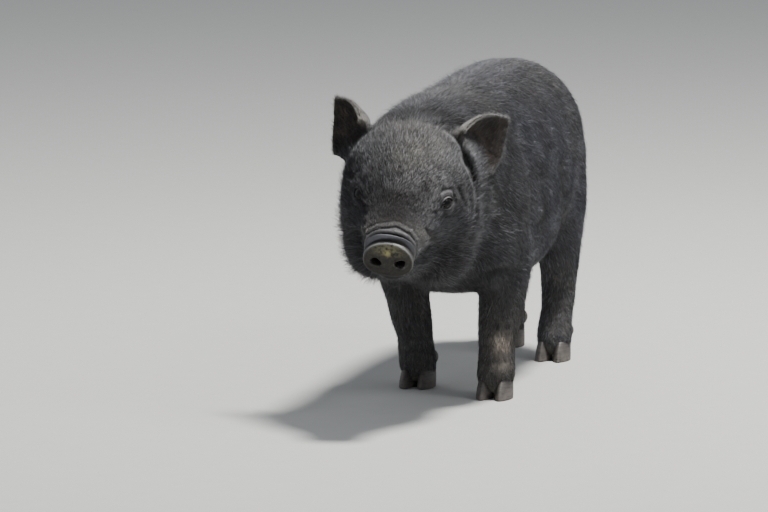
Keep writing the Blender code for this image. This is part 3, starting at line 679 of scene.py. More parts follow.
def dark_hair_and_shade(places):
    """How dark and brown each point is, partly dark brown hair and partly painted shade: the bridge of the
    nose, between the eyes and the temples most, then the jowls. Painted shade lies under the jowls and
    belly, on the top of the neck, in the hollow before each ear's base and on the open faces of the ears.
    """
    x, y, z = places.local.T
    start = 0.012 - 0.011 * step(np.abs(x), 0.008, 0.017)
    bridge = hump(x, -0.002, 0.026) * step(y - start, 0.0, 0.012)
    bridge = bridge * (1 - step(y, 0.041, 0.050)) * step(z, -0.004, 0.010)
    temple = 0.7 * hump(np.abs(x), 0.038, 0.0080) * hump(y, -0.010, 0.012) * hump(z, 0.008, 0.014)
    jowl = places.head * step(-z, 0.014, 0.038)
    nape = 0.75 * hump(y, -0.058, 0.014) * step(z, 0.008, 0.026)
    socket = 0.85 * hump(np.abs(x), 0.045, 0.0085) * hump(y, -0.055, 0.0090) * hump(z, 0.007, 0.016)
    dusk_and_shade = np.clip(bridge + temple + 0.35 * jowl + 0.3 * places.belly + nape + socket, 0, 1)
    return dusk_and_shade * (1 - places.ear) + 0.75 * places.ear * places.ear_front * (1 - ear_rim(places))


def coat_inset(places):
    """How far the skin lies inside the solids: less on legs and head than on the body, least on the ears."""
    depth = np.full(len(places.points), bpy.context.scene.piglet_skin.coat_depth)
    depth = depth * (1 - 0.30 * places.leg) * (1 - 0.35 * places.head)
    return depth * (1 - 0.65 * places.snout) * (1 - 0.95 * places.ear) * (1 - 0.6 * places.tail)


def snout_folds(places):
    """Rings round the snout behind its disc: creases and rolls as bells along y, strongest on top. They bend
    forward down the sides and run out against the rim."""
    x, y, z = places.local.T
    around = np.arctan2(z / SNOUT_HALF[1], np.abs(x) / SNOUT_HALF[0])
    top = step(np.sin(around), 0.10, 0.85)
    wander = 0.0008 * np.sin(x * 260.0 + 0.6) + 0.0004 * np.sin(x * 610.0)
    y = y + wander * step(SNOUT_END - y, 0.001, 0.005) - 0.0026 * (1 - np.sin(np.maximum(around, 0)))
    valley = 0.9 * hump(y, SNOUT_END + 0.0003, 0.0010) + 0.85 * hump(y, 0.0503, 0.0007)
    valley = valley + 0.28 * hump(y, 0.0450, 0.0011)
    roll = hump(y, 0.0534, 0.0017) + 0.62 * hump(y, 0.0476, 0.0021) + 0.15 * hump(y, 0.0420, 0.0020)
    return (0.00090 * roll - 0.00110 * valley) * top, valley * top


def mouth_groove(places):
    """The mouth's line: a narrow valley where the surface crosses it, below a swollen upper lip."""
    y, z = places.local.T[1:]
    line_y, line_z = np.array(MOUTH).T
    line = np.interp(y, line_y, line_z)
    inside = step(y, MOUTH[0][0], MOUTH[0][0] + 0.006) * (z < 0.0)
    valley = hump(z, line, 0.0009) * inside
    lip = hump(z, line + 0.0030, 0.0022) * inside * step(y, 0.012, 0.03)
    chin = hump(z, line - 0.0032, 0.0020) * inside * step(y, 0.03, 0.05)
    return 0.0006 * lip + 0.0004 * chin - 0.0017 * valley, valley


def wrist_creases(places):
    """Short creases across the front of the wrists and the backs of the feet."""
    z = places.points[:, 2] + 0.0012 * ripple(places.points, 0.030, 11)
    creases = hump(z, 0.0505, 0.0010) + hump(z, 0.0455, 0.0009)
    creases = creases + 0.7 * hump(z, 0.0375, 0.0009) + 0.8 * hump(z, 0.0285, 0.0010)
    return -0.00045 * creases * places.leg, creases * places.leg * 0.6


def lid_edge(across, up):
    """How far outside the lids' opening a point is: near it, past its almond's arch, which is
    (1 - (x/half)^2)^0.75 of its height, and farther out, along the ray to an oval of the same size."""
    share = np.clip(1.0 - (across / LID_HALF) ** 2, 0.0, 1.0) ** 0.75
    height = np.where(up > 0, LID_ARCH[0], LID_ARCH[1])
    beside = np.abs(across) - LID_HALF
    almond = np.where(beside > 0, np.hypot(beside, up), np.abs(up) - height * share)
    times = np.hypot(across / LID_HALF, up / height)
    oval = np.hypot(across, up) * (1.0 - 1.0 / np.maximum(times, 0.2))
    far = step(oval, 0.0002, 0.0018)
    return almond * (1 - far) + oval * far


def higher(first, second, blend):
    """The greater of two heights, rounded off where they come within a blend of each other."""
    share = np.clip(0.5 + 0.5 * (first - second) / blend, 0.0, 1.0)
    return second * (1 - share) + first * share + blend * share * (1 - share)


def orbit(across, up, out, reach):
    """The height of a smooth orbit: a quadratic surface fitted to the skin in a ring round the eye."""
    terms = np.stack([np.ones_like(up), across, up, across * up, across**2, up**2], axis=1)
    ring = (reach > 0.0105) & (reach < 0.0150) & (out > 0)
    fitted = np.linalg.lstsq(terms[ring], out[ring], rcond=None)[0]
    return terms @ fitted


def shape_lids(points, side):
    """Moves the skin about an eye along its outward axis: lids over the ball, an opening, and small folds.

    The moat round the ball is filled up to the orbit's surface. Over the ball the height is that of a sphere
    a lid's thickness larger, and within the opening it drops under the ball. Each lid has a thin margin, a
    crease and a swollen fold beyond it; the lower lid has a second and a third crease. Painted shade is
    returned for the opening, the creases and the groove by the outer corner, and paler hairless skin round
    the eye, with the upper lids and the ridge by the outer corner painted paler as painted light."""
    axes = EYE_AXES[side]
    local = axes.inside(points)
    across, up, out = local.T
    reach = np.hypot(across, up)
    near = (out > 0.0) & (reach < 0.0150)
    outside = lid_edge(across, up)
    filled = higher(out, orbit(across, up, out, reach), 0.0020)
    height = out + (filled - out) * (1 - step(reach, 0.0110, 0.0150))
    ball = np.sqrt(np.maximum((EYE_RADIUS + LID_THICK) ** 2 - reach**2, 0.0))
    height = np.where(reach < EYE_RADIUS + LID_THICK, higher(height, ball, 0.0026), height)
    flat = hump(outside, 0.0, 0.0016) * (np.abs(across) < LID_HALF + 0.001)
    height = height + (ball - height) * flat * (reach < EYE_RADIUS)
    upper = up > 0
    fade = 1 - 0.94 * step(-across, LID_HALF * 0.45, LID_HALF * 1.15)
    fade = fade * (1 - 0.80 * step(across, LID_HALF, LID_HALF * 1.5))
    margin = 0.00030 * hump(outside, 0.0004, 0.0004)
    crease = np.where(upper, hump(outside, 0.0013, 0.00040), 0.85 * hump(outside, 0.0012, 0.00035))
    second = np.where(upper, 0.8 * hump(outside, 0.0062, 0.0008), 0.8 * hump(outside, 0.0036, 0.0005))
    third = np.where(upper, 0.0, 0.6 * hump(outside, 0.0058, 0.0006))
    swell = np.where(upper, 1.3 * hump(outside, 0.0037, 0.0017), 0.45 * hump(outside, 0.0024, 0.0008))
    swell = swell + np.where(upper, 0.0, 0.4 * hump(outside, 0.0047, 0.0008))
    beside = across + 0.28 * up
    tall = step(up, -0.0100, -0.0050) * (1 - step(up, 0.0015, 0.0050))
    ridge = hump(beside, 0.0112, 0.0011) * tall
    groove = hump(beside, 0.0092, 0.0006) * tall
    height = height + margin + (0.0009 * swell - 0.0007 * crease - 0.0006 * (second + third)) * fade
    height = height + 0.0009 * ridge - 0.0005 * groove
    opened = 1 - step(outside, -0.00035, 0.00020)
    under = np.sqrt(np.maximum((EYE_RADIUS - LID_SINK) ** 2 - reach**2, 0.0))
    height = height * (1 - opened) + np.minimum(under, height) * opened
    moved = local.copy()
    moved[:, 2] = np.where(near, height, out)
    # Painted shade: the skin in the opening, the lids' creases and the groove by the outer corner.
    dark = [opened, 0.9 * crease * fade, 0.7 * second * fade, 0.7 * third * fade, 0.7 * groove]
    # The hairless skin round the eye is paler: the upper lids more than the lower, as painted light, and the
    # ridge by the outer corner as a painted highlight.
    bare = (1 - step(outside, 0.0044, 0.0064)) * np.where(upper, 1.0, 0.45) * fade
    bare = [bare, 0.55 * hump(outside, 0.0003, 0.0005), 0.8 * ridge]
    dark, bare = (np.where(near, np.maximum.reduce(shares), 0.0) for shares in (dark, bare))
    return np.where(near[:, None], axes.outside(moved), points), dark, bare


def sculpt(made):
    """Draws the skin in by the coat's depth, presses in its folds, and shapes the lids."""
    points = read(made.data.vertices, "co", 3)
    normals = read(made.data.vertex_normals, "vector", 3)
    places = Places(points)
    x, y, z = places.local.T
    push = -coat_inset(places)
    # crease gathers how deep in each valley a point is: fewer bristles grow there, and it carries painted
    # shade into the creases.
    crease = np.zeros(len(points))
    for folds, inside in ((HEAD_FOLDS, places.local), (BODY_FOLDS, points)):
        outward = np.abs(inside) * (1.0, 0.0, 0.0) + inside * (0.0, 1.0, 1.0)
        for fold in folds.values():
            moved, valley = fold_push(outward, fold)
            push += moved
            crease = np.maximum(crease, valley)
    for made_folds in (snout_folds, mouth_groove, wrist_creases):
        moved, valley = made_folds(places)
        push += moved
        crease = np.maximum(crease, valley)
    brow = hump(np.abs(x), 0.0277, 0.0030) * hump(y, -0.0005, 0.0042) * step(z, 0.012, 0.017)
    cheek = hump(np.abs(x), 0.0420, 0.0120) * hump(y, -0.0080, 0.014) * hump(z, -0.022, 0.016)
    bridge = hump(x, 0.0, 0.0060) * hump(y, 0.030, 0.012) * step(z, 0.005, 0.012)
    push += 0.0010 * brow + 0.0011 * cheek + 0.0004 * bridge
    push += 0.00030 * ripple(points, 0.016, 21) * (1 - places.ear) * (1 - places.snout)
    points = points + normals * push[:, None]
    bare = np.maximum(0.55 * places.snout * step(y, 0.0490, 0.0540) * step(z, -0.004, 0.008), 0.7 * brow)
    for side in SIDES:
        points, shaded, lid = shape_lids(points, side)
        crease = np.maximum(crease, shaded)
        # The right eye's lids are painted less pale than the left's: painted shade on the right eye.
        bare = np.maximum(bare, lid * (0.8 if side == "left" else 0.3))
    made.data.vertices.foreach_set("co", points.astype(np.float32).ravel())
    made.data.update()
    put(made, "crease", np.clip(crease, 0, 1))
    put(made, "bare", np.clip(bare, 0, 1))
    put(made, "dust", dust_and_leg_light(places))
    put(made, "dusk_and_shade", dark_hair_and_shade(places))
    put(made, "worn", wrist_patch(places))
    put(made, "inner_ear", places.ear * places.ear_front * step(places.ear_along, 0.05, 0.30))
    put(made, "rim", ear_rim(places))


# ---------------------------------------------------------------- shader maths
class Wire:
    """A node's output. Arithmetic on it adds Math nodes."""

    def __init__(self, finish, socket):
        self.finish = finish
        self.socket = socket

    def maths(self, operation, first, second=0.0):
        """A Math node's output."""
        return self.finish.node("ShaderNodeMath", {"operation": operation}, {0: first, 1: second})

    def __add__(self, other):
        return self.maths("ADD", self, other)

    def __mul__(self, other):
        return self.maths("MULTIPLY", self, other)

    def __sub__(self, other):
        return self.maths("SUBTRACT", self, other)

    def __rsub__(self, other):
        return self.maths("SUBTRACT", other, self)

    __radd__ = __add__
    __rmul__ = __mul__

    def between(self, low, high):
        """0 below low, 1 above high, and smooth in between."""
        settings = {"interpolation_type": "SMOOTHSTEP"}
        return self.finish.node("ShaderNodeMapRange", settings, {0: self, 1: low, 2: high})


class Finish:
    """A material under construction, made node by node."""

    def __init__(self, name):
        self.material = bpy.data.materials.new(name)
        self.material.use_nodes = True
        self.tree = self.material.node_tree
        self.tree.nodes.clear()

    def node(self, kind, settings=None, inputs=None, output=0):
        """A node of a kind, its settings first and then its sockets' values or links, as one output."""
        made = self.tree.nodes.new(kind)
        for name, value in (settings or {}).items():
            setattr(made, name, value)
        for name, value in (inputs or {}).items():
            if isinstance(value, Wire):
                self.tree.links.new(value.socket, made.inputs[name])
            else:
                made.inputs[name].default_value = value
        return Wire(self, made.outputs[output]) if made.outputs else None

    def place(self, scale=(1.0, 1.0, 1.0)):
        """Object coordinates in metres, scaled."""
        here = self.node("ShaderNodeTexCoord", output="Object")
        return self.node("ShaderNodeMapping", {"vector_type": "POINT"}, {"Vector": here, "Scale": scale})

    def noise(self, vector, scale, detail=2.0, roughness=0.5):
        """Cloudy noise about 0.5."""
        inputs = {"Vector": vector, "Scale": scale, "Detail": detail, "Roughness": roughness}
        return self.node("ShaderNodeTexNoise", {}, inputs, "Fac")

    def cells(self, vector, scale):
        """The distance to the middle of the nearest cell."""
        return self.node("ShaderNodeTexVoronoi", {}, {"Vector": vector, "Scale": scale}, "Distance")

    def kept(self, name):
        """A number kept on the mesh's points."""
        return self.node("ShaderNodeAttribute", {"attribute_name": name}, output="Fac")

    def mix(self, share, first, second, blend="MIX"):
        """Two colours mixed by a share."""
        settings = {"data_type": "RGBA", "blend_type": blend}
        colours = [value if isinstance(value, Wire) else (*value, 1.0) for value in (first, second)]
        return self.node("ShaderNodeMix", settings, {0: share, 6: colours[0], 7: colours[1]}, 2)

    def bump(self, height, distance, strength):
        """A normal tilted by the slope of a height."""
        return self.node("ShaderNodeBump", {}, {"Height": height, "Distance": distance, "Strength": strength})

    def surface(self, **inputs):
        """The Principled shader, its sockets named with _ for spaces, on the material's output."""
        named = {name.replace("_", " "): value for name, value in inputs.items()}
        shader = self.node("ShaderNodeBsdfPrincipled", {}, named, "BSDF")
        self.node("ShaderNodeOutputMaterial", {}, {"Surface": shader})
        return self.material


def scaled(colour, by):
    """A colour times a number, or times one number for each channel."""
    return tuple((np.array(colour) * by).tolist())


# Colours of single marks: painted shade at the bottom of creases, the worn wrists, a bristle that catches the
# light, pale ear hair, and on the rooting disc mud, yellow clay, its pale rim with a painted highlight on
# top, the bluish fold behind it with a painted sheen, a painted highlight on the wet rims and painted shade
# in the nostrils.
CREASE_SHADE = (0.006, 0.005, 0.005)
WORN = (0.520, 0.440, 0.375)
GLINT = (0.290, 0.294, 0.315)
STRAW = (0.300, 0.270, 0.200)
MUD = (0.150, 0.142, 0.086)
YELLOW_CLAY = (0.300, 0.270, 0.110)
PALE_RIM_AND_HIGHLIGHT = (0.190, 0.190, 0.185)
BLUISH_FOLD_SHEEN = (0.170, 0.175, 0.205)
WET_HIGHLIGHT = (0.150, 0.150, 0.160)
NOSTRIL_SHADE = (0.006, 0.004, 0.004)
# How much lighter and bluer the trunk's bristles are, a painted bluish sheen, and between which places along
# the pig that sets in.
TRUNK_SHEEN = (1.20, 1.23, 1.34)
TRUNK_START = (-0.050, 0.010)


def coat_colour(finish, base, dust_and_light_share):
    """The markings that skin and bristles share: a mottled base, darker and browner for dark hair and
    painted shade, under dry dust that on the legs is also painted light.
    """
    colours = bpy.context.scene.piglet_colours
    mottle = finish.noise(finish.place(), 42.0, 3.0, 0.6)
    warm = finish.noise(finish.place(), 17.0, 2.0)
    cool = finish.mix(mottle.between(0.30, 0.72), scaled(base, 0.85), scaled(base, 1.18))
    brown = finish.mix(warm.between(0.42, 0.70) * 0.25, cool, scaled(base, (1.25, 1.05, 0.85)))
    # Darker and browner for dark brown hair and for painted shade.
    brown = finish.mix(finish.kept("dusk_and_shade") * 0.95, brown, scaled(base, (0.22, 0.18, 0.15)))
    specks = finish.noise(finish.place(), 420.0, 3.0, 0.7).between(0.36, 0.66)
    # Dust, which on the legs is painted light.
    share = finish.kept("dust") * (0.35 + 0.65 * specks) * dust_and_light_share
    dusted_and_lit = finish.mix(share, brown, tuple(colours.dust))
    return finish.mix(finish.kept("worn") * 0.9, dusted_and_lit, WORN)


def skin_finish():
    """Dark skin under flat bristles: fine stipple and wrinkles, paler hairless folds and lids with painted
    light on the upper lids, brown ears with pale edges, and painted shade in the creases.
    """
    colours = bpy.context.scene.piglet_colours
    finish = Finish("piglet_skin")
    colour = coat_colour(finish, tuple(colours.skin), 0.60)
    mottle = finish.noise(finish.place(), 110.0, 4.0, 0.65)
    bare = finish.kept("bare")
    pores = finish.cells(finish.place(), 620.0)
    bare_colour = finish.mix(pores.between(0.1, 0.7), scaled(colours.bare, 0.75), scaled(colours.bare, 1.20))
    # Paler hairless skin on the snout's end, brows and lids, with painted light: the upper lids and the ridge
    # by each eye's outer corner painted paler, the right eye's lids less so as painted shade.
    colour = finish.mix(bare * 0.85, colour, bare_colour)
    inner = finish.mix(mottle.between(0.30, 0.62), (0.014, 0.010, 0.008), (0.052, 0.040, 0.031))
    colour = finish.mix(finish.kept("inner_ear") * 0.85, colour, inner)
    colour = finish.mix(finish.kept("rim") * 0.42, colour, (0.140, 0.128, 0.095))
    # Painted shade at the bottom of creases and in the lids' opening.
    colour = finish.mix(finish.kept("crease") * 0.80, colour, CREASE_SHADE)
    stipple = finish.noise(finish.place(), 1400.0, 3.0, 0.7)
    wrinkles = finish.cells(finish.place(), 480.0)
    normal = finish.bump(stipple + wrinkles * 0.7, 0.0004, 0.6)
    rough = 0.58 + 0.14 * finish.noise(finish.place(), 130.0) - 0.16 * bare + 0.30 * finish.kept("dusk_and_shade")
    return finish.surface(Base_Color=colour, Roughness=rough, Normal=normal, Specular_IOR_Level=0.30)


def bristle_finish():
    """Bristles darkest at the root, each with a shade of its own, dusted where the skin is, with painted
    shade in creases and a painted bluish sheen on the trunk.
    """
    colours = bpy.context.scene.piglet_colours
    finish = Finish("piglet_bristle")
    colour = coat_colour(finish, tuple(colours.bristle), 0.95)
    shade = finish.kept("shade")
    colour = finish.mix(1.0 - shade.between(0.10, 0.55), colour, scaled(colours.bristle, 0.26))
    glint = shade.between(0.80, 0.97) * (0.80 - 0.66 * finish.kept("dusk_and_shade"))
    colour = finish.mix(glint, colour, GLINT)
    # Painted sheen: the trunk's bristles are lighter and bluer than the head's.
    trunk = finish.node("ShaderNodeSeparateXYZ", {}, {"Vector": finish.place()}, "Y").between(*TRUNK_START)
    colour = finish.mix(trunk, colour, TRUNK_SHEEN, "MULTIPLY")
    near_root = (1.0 - finish.kept("along")).between(0.55, 1.0)
    colour = finish.mix(near_root * 0.5, colour, scaled(colours.bristle, 0.45))
    # Painted shade in creases.
    colour = finish.mix(finish.kept("crease") * 0.75, colour, CREASE_SHADE)
    colour = finish.mix(finish.kept("pale"), colour, STRAW)
    rough = 0.46 + 0.45 * finish.kept("dusk_and_shade")
    return finish.surface(Base_Color=colour, Roughness=rough, Specular_IOR_Level=0.30)


def nose_finish():
    """The rooting disc: damp dark pebbled skin, olive dust and a dab of yellow mud on top, a pale rim
    with a painted highlight on top, a bluish fold behind it with a painted sheen, a painted highlight on the
    wet rims, and painted shade in the nostrils and the crack."""
    finish = Finish("piglet_nose")
    pebbles = finish.cells(finish.place(), 900.0)
    mottle = finish.noise(finish.place(), 190.0, 3.0, 0.6)
    speckle = finish.noise(finish.place(), 430.0, 4.0, 0.7)
    colour = finish.mix(mottle.between(0.35, 0.68), (0.006, 0.005, 0.004), (0.016, 0.014, 0.010))
    colour = finish.mix(finish.kept("mud") * speckle.between(0.34, 0.58) * 0.85, colour, MUD)
    colour = finish.mix(finish.kept("yellow") * speckle.between(0.30, 0.52) * 0.8, colour, YELLOW_CLAY)
    # The pale rim, with a painted highlight where it is paler on top.
    colour = finish.mix(finish.kept("lip") * 0.80, colour, PALE_RIM_AND_HIGHLIGHT)
    # The hairless bluish fold, painted paler and bluer as a painted sheen.
    colour = finish.mix(finish.kept("fold") * 0.95, colour, BLUISH_FOLD_SHEEN)
    # A painted highlight on the nostrils' wet lower rims.
    colour = finish.mix(finish.kept("wet") * speckle.between(0.50, 0.66) * 0.6, colour, WET_HIGHLIGHT)
    # Painted shade in the nostrils and in the crack behind the rim.
    colour = finish.mix(finish.kept("nostril_shade") * 0.95, colour, NOSTRIL_SHADE)
    normal = finish.bump((1.0 - pebbles) * 0.8 + mottle * 0.5, 0.0003, 0.6)
    rough = 0.36 + 0.26 * mottle + 0.2 * finish.kept("mud") - 0.20 * finish.kept("wet")
    return finish.surface(Base_Color=colour, Roughness=rough, Normal=normal, Specular_IOR_Level=0.35)


def eye_finish():
    """A wet dark eye: black pupil, iris almost as dark, dusky brown beyond, under a clear coat."""
    finish = Finish("piglet_eye")
    angle = finish.kept("from_pupil")
    spokes = finish.noise(finish.place(), 900.0, 3.0, 0.6)
    iris = finish.mix(spokes.between(0.3, 0.7), (0.004, 0.003, 0.003), (0.009, 0.006, 0.005))
    colour = finish.mix(angle.between(0.30, 0.36), (0.002, 0.002, 0.002), iris)
    colour = finish.mix(angle.between(0.72, 0.84), colour, (0.006, 0.005, 0.005))
    colour = finish.mix(angle.between(1.00, 1.20), colour, (0.008, 0.006, 0.005))
    return finish.surface(
        Base_Color=colour, Roughness=0.24, Coat_Weight=0.22, Coat_Roughness=0.04, Specular_IOR_Level=0.08
    )


def claw_finish():
    """Dark horn with growth rings, scuffed and dusty toward the toe."""
    finish = Finish("piglet_claw")
    rings = finish.noise(finish.place((90.0, 90.0, 1300.0)), 1.0, 3.0, 0.6)
    grain = finish.noise(finish.place((900.0, 900.0, 160.0)), 1.0, 3.0, 0.6)
    colour = finish.mix(rings.between(0.3, 0.7), (0.022, 0.019, 0.018), (0.058, 0.050, 0.046))
    worn = finish.kept("worn") * finish.noise(finish.place(), 260.0, 4.0, 0.65).between(0.30, 0.62)
    colour = finish.mix(worn * 0.75, colour, (0.130, 0.114, 0.098))
    normal = finish.bump(rings * 0.7 + grain * 0.5, 0.0003, 0.6)
    return finish.surface(Base_Color=colour, Roughness=0.56 + 0.30 * worn, Normal=normal)


# ---------------------------------------------------------------- the bristles
def roots_on(skin, rng, count, density):
    """Random places on the skin, as (points, normals, creases): a triangle chosen by its area and density,
    then a spot in it."""
    mesh = skin.data
    mesh.calc_loop_triangles()
    corners = read(mesh.loop_triangles, "vertices", 3, np.int32)
    points = read(mesh.vertices, "co", 3)
    normals = read(mesh.vertex_normals, "vector", 3)
    a, b, c = (points[corners[:, k]] for k in range(3))
    area = np.linalg.norm(np.cross(b - a, c - a), axis=1) / 2
    wanted = np.cumsum(area * density[corners].mean(axis=1))
    chosen = np.searchsorted(wanted, rng.random(count) * wanted[-1])
    first, second = rng.random((2, count))
    over = first + second > 1
    first, second = np.where(over, 1 - first, first), np.where(over, 1 - second, second)
    weights = np.stack([1 - first - second, first, second], axis=1)[..., None]
    picked = corners[chosen]
    crease = read(mesh.attributes["crease"].data, "value", 1)[picked]
    upright = unit((normals[picked] * weights).sum(axis=1))
    return (points[picked] * weights).sum(axis=1), upright, (crease * weights).sum(axis=(1, 2))


def lie_of(places, normals):
    """The way the coat lies: back and down on the body, down the legs and tail, away from the snout on the
    head and toward the tips of the ears, with a slow wander."""
    points, local = places.points, places.local
    body = np.array((0.0, 0.80, -0.60)) + np.outer(0.25 * np.sign(points[:, 0]), (1.0, 0.0, 0.0))
    flow = body * (1 - places.leg)[:, None] + np.array((0.0, 0.22, -1.0)) * places.leg[:, None]
    aside, down = 0.35 * np.tanh(local[:, 0] / 0.02), 0.15 - 0.5 * step(-local[:, 2], 0.0, 0.03)
    on_head = np.stack([aside, np.full(len(points), -1.0), down], axis=1)
    flow = flow * (1 - places.head)[:, None] + HEAD.turn_out(on_head) * places.head[:, None]
    flow = flow * (1 - places.tail)[:, None] + np.array((0.0, 0.1, -1.0)) * places.tail[:, None]
    for side, axes in EAR_AXES.items():
        here = places.ear * (np.sign(points[:, 0]) == SIDES[side])
        to_tip = np.stack([places.ear_across * 0.7, np.ones(len(points)), np.zeros(len(points))], axis=1)
        flow = flow * (1 - here)[:, None] + axes.turn_out(to_tip) * here[:, None]
    wander = np.stack([ripple(points, 0.030, seed) for seed in (31, 32, 33)], axis=1)
    clump = np.stack([ripple(points, 0.005, seed) for seed in (34, 35, 36)], axis=1)
    return flat_to(unit(flow) + 0.25 * wander + 0.18 * clump, normals)


def unwrap(places):
    """A map of the skin's own shape in the unit square: the trunk, head and each leg as cylinders round their
    own lengths, and each face of each ear as its leaf, side by side."""
    px, py, pz = places.points.T
    x, y, z = places.local.T
    left, right, page = 0.02, 0.52, 0.46

    def round_by(first, second):
        return np.arctan2(first, second) / WHOLE_TURN + 0.5

    def column(number, share):
        return 0.12 * number + 0.10 * share

    trunk = left + page * round_by(px, pz - 0.14), left + page * (py + 0.15) / 0.45
    head = right + page * round_by(x, z + 0.012), left + page * (y + 0.07) / 0.14
    middle_x, middle_y = np.where(px < 0, -0.022, 0.036), np.where(py > 0.06, 0.150, -0.03)
    leg_column = column((px < 0) * 1.0 + (py > 0.06) * 2.0, round_by(px - middle_x, py - middle_y))
    legs = left + leg_column, right + page * np.clip(pz / 0.10, 0, 1)
    ear_column = column((px < 0) * 1.0 + places.ear_front * 2.0, places.ear_across * 0.43 + 0.5)
    ears = right + ear_column, right + page * np.clip(places.ear_along / 1.1, 0, 1)
    spot = np.where(places.head > 0.5, head, trunk)
    spot = np.where(places.leg > 0.5, legs, spot)
    return np.clip(np.where(places.ear > 0.5, ears, spot), 0.002, 0.995).T


# How far along each of a bristle's rings of three points is, with its width there: straight ones for the flat
# coat, bent ones where it is long. The tip is one more point.
STRAIGHT = ((-0.04, 1.0),)
BENT = ((-0.03, 1.0), (0.50, 0.72))
# How far bristles stay above the floor, the height below which none is rooted, and how wide each one's patch
# of the map is.
HAIR_CLEARANCE = 0.0003
CLAW_TOP = 0.0105
PATCH = 0.003


def bristle_faces(rings):
    """Triangles of one bristle: its root's cap, a band between each two rings, and the fan to its tip."""
    k = np.arange(3)
    beside = (k + 1) % 3
    faces = [np.array(((0, 2, 1),))]
    for low in range(0, 3 * (rings - 1), 3):
        faces.append(np.stack([low + k, low + beside, low + 3 + beside], axis=1))
        faces.append(np.stack([low + k, low + 3 + beside, low + 3 + k], axis=1))
    last = 3 * (rings - 1)
    faces.append(np.stack([last + k, last + beside, np.full(3, last + 3)], axis=1))
    return np.vstack(faces)


def add_bristles(name, rings, roots, normals, lie, length, width, rise, curl, shade, pale, crease, finish):
    """Bristles as closed three-sided spikes. Each runs from its root along the lie, risen by an angle off the
    skin, and bends back to it by curl times the square of the way along; it narrows to its tip."""
    count = len(roots)
    share, thin = np.array((*rings, (1.0, 0.0))).T
    ahead = lie * np.cos(rise)[:, None] + normals * np.sin(rise)[:, None]
    bend = curl[:, None, None] * share[:, None] ** 2 * normals[:, None]
    centre = roots[:, None] + length[:, None, None] * (share[:, None] * ahead[:, None] - bend)
    side = np.cross(normals, lie)
    turn = np.arange(3) * WHOLE_TURN / 3
    around = side[:, None] * np.cos(turn)[:, None] + normals[:, None] * np.sin(turn)[:, None]
    shells = [centre[:, k, None] + around * (width * thin[k] / 2)[:, None, None] for k in range(len(rings))]
    points = np.concatenate([*shells, centre[:, -1:]], axis=1)
    points[..., 2] = np.maximum(points[..., 2], HAIR_CLEARANCE)
    each = points.shape[1]
    triangles = bristle_faces(len(rings))
    faces = (triangles[None] + each * np.arange(count)[:, None, None]).reshape(-1, 3)
    made = new_object(name, points.reshape(-1, 3), [faces], finish)
    along = np.clip(np.append(np.repeat(share[:-1], 3), 1.0), 0, 1)
    places = Places(roots)
    put(made, "along", np.tile(along, count))
    put(made, "shade", np.repeat(shade, each))
    put(made, "pale", np.repeat(pale, each))
    put(made, "crease", np.repeat(np.clip(crease, 0, 1), each))
    put(made, "dust", np.repeat(dust_and_leg_light(places), each))
    put(made, "dusk_and_shade", np.repeat(dark_hair_and_shade(places), each))
    put(made, "worn", np.repeat(wrist_patch(places), each))
    across = np.append(np.tile((0.0, 0.5, 1.0), len(rings)), 0.5)
    spots = unwrap(places)[:, None, None] + PATCH * np.stack([across, along], axis=1)[triangles][None]
    layer = made.data.uv_layers.new(name="OFBake")
    layer.data.foreach_set("uv", spots.astype(np.float32).ravel())
    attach(made, "root")
    return made


def between(value, low, high):
    """1 where a value is from low up to high, and 0 elsewhere."""
    return np.where((value >= low) & (value < high), 1.0, 0.0)


def trunk_share(places, low, high):
    """How much of each point is trunk, from one place along the pig to another."""
    return (1 - places.head) * (1 - places.ear) * (1 - places.leg) * between(places.points[:, 1], low, high)


# Each coat piece: which points it may grow from and how many bristles it has.
COATS = {
    "coat_face": (lambda p: p.head * (p.local[:, 1] > -0.014), 44000),
    "coat_crown": (lambda p: p.head * (p.local[:, 1] <= -0.014) * (1 - p.leg), 42000),
    "coat_neck": (lambda p: trunk_share(p, -1.0, -0.055), 32000),
    "coat_shoulder": (lambda p: trunk_share(p, -0.055, 0.035), 44000),
    "coat_flank": (lambda p: (1 - p.leg) * between(p.points[:, 1], 0.035, 0.115), 42000),
    "coat_rump": (lambda p: (1 - p.leg) * (p.points[:, 1] >= 0.115), 44000),
    "coat_legs": (lambda p: p.leg, 42000),
    "coat_ears": (lambda p: p.ear, 18000),
}


def bristle_sizes(places, rng):
    """Length, width, rise and curl of the bristle at each place: shortest on the snout, ears and feet,
    longest and most raised along the crest and under the jowls."""
    coat = bpy.context.scene.piglet_coat
    count = len(places.points)
    jowl = places.head * step(-places.local[:, 2], 0.030, 0.060)
    nape = places.crest * step(-places.points[:, 1], -0.03, 0.06)
    size = 1.0 - 0.26 * places.head - 0.30 * places.snout - 0.22 * places.leg - 0.22 * places.foot
    size = size * (1 - 0.40 * places.ear) + 0.35 * jowl + 0.30 * nape + 0.20 * places.belly
    length = coat.body_length * np.maximum(size, 0.30) * rng.uniform(0.60, 1.35, count)
    width = coat.body_width * (1 - 0.15 * places.head - 0.10 * places.snout) * rng.uniform(0.75, 1.30, count)
    rise = np.radians(14.0 + 10.0 * jowl + 14.0 * nape + 4.0 * places.head + 7.0 * rng.normal(size=count))
    rise = np.clip(rise, np.radians(5.0), np.radians(55.0))
    curl = np.sin(rise) * rng.uniform(0.25, 0.65, count)
    return length, width, rise, curl


def jowls(p):
    """The lower and outer sides of the head."""
    return p.head * np.maximum(step(-p.local[:, 2], 0.012, 0.040), step(np.abs(p.local[:, 0]), 0.036, 0.046))


def tail_end(p):
    """The tail's last part."""
    return p.tail * step(box_of("tail")[0, 2] + 0.030 - p.points[:, 2], 0.0, 0.02)


def ear_inside(p):
    """The open faces of the ears, short of their rims."""
    return p.ear * p.ear_front * (np.abs(p.ear_across) < 0.8)


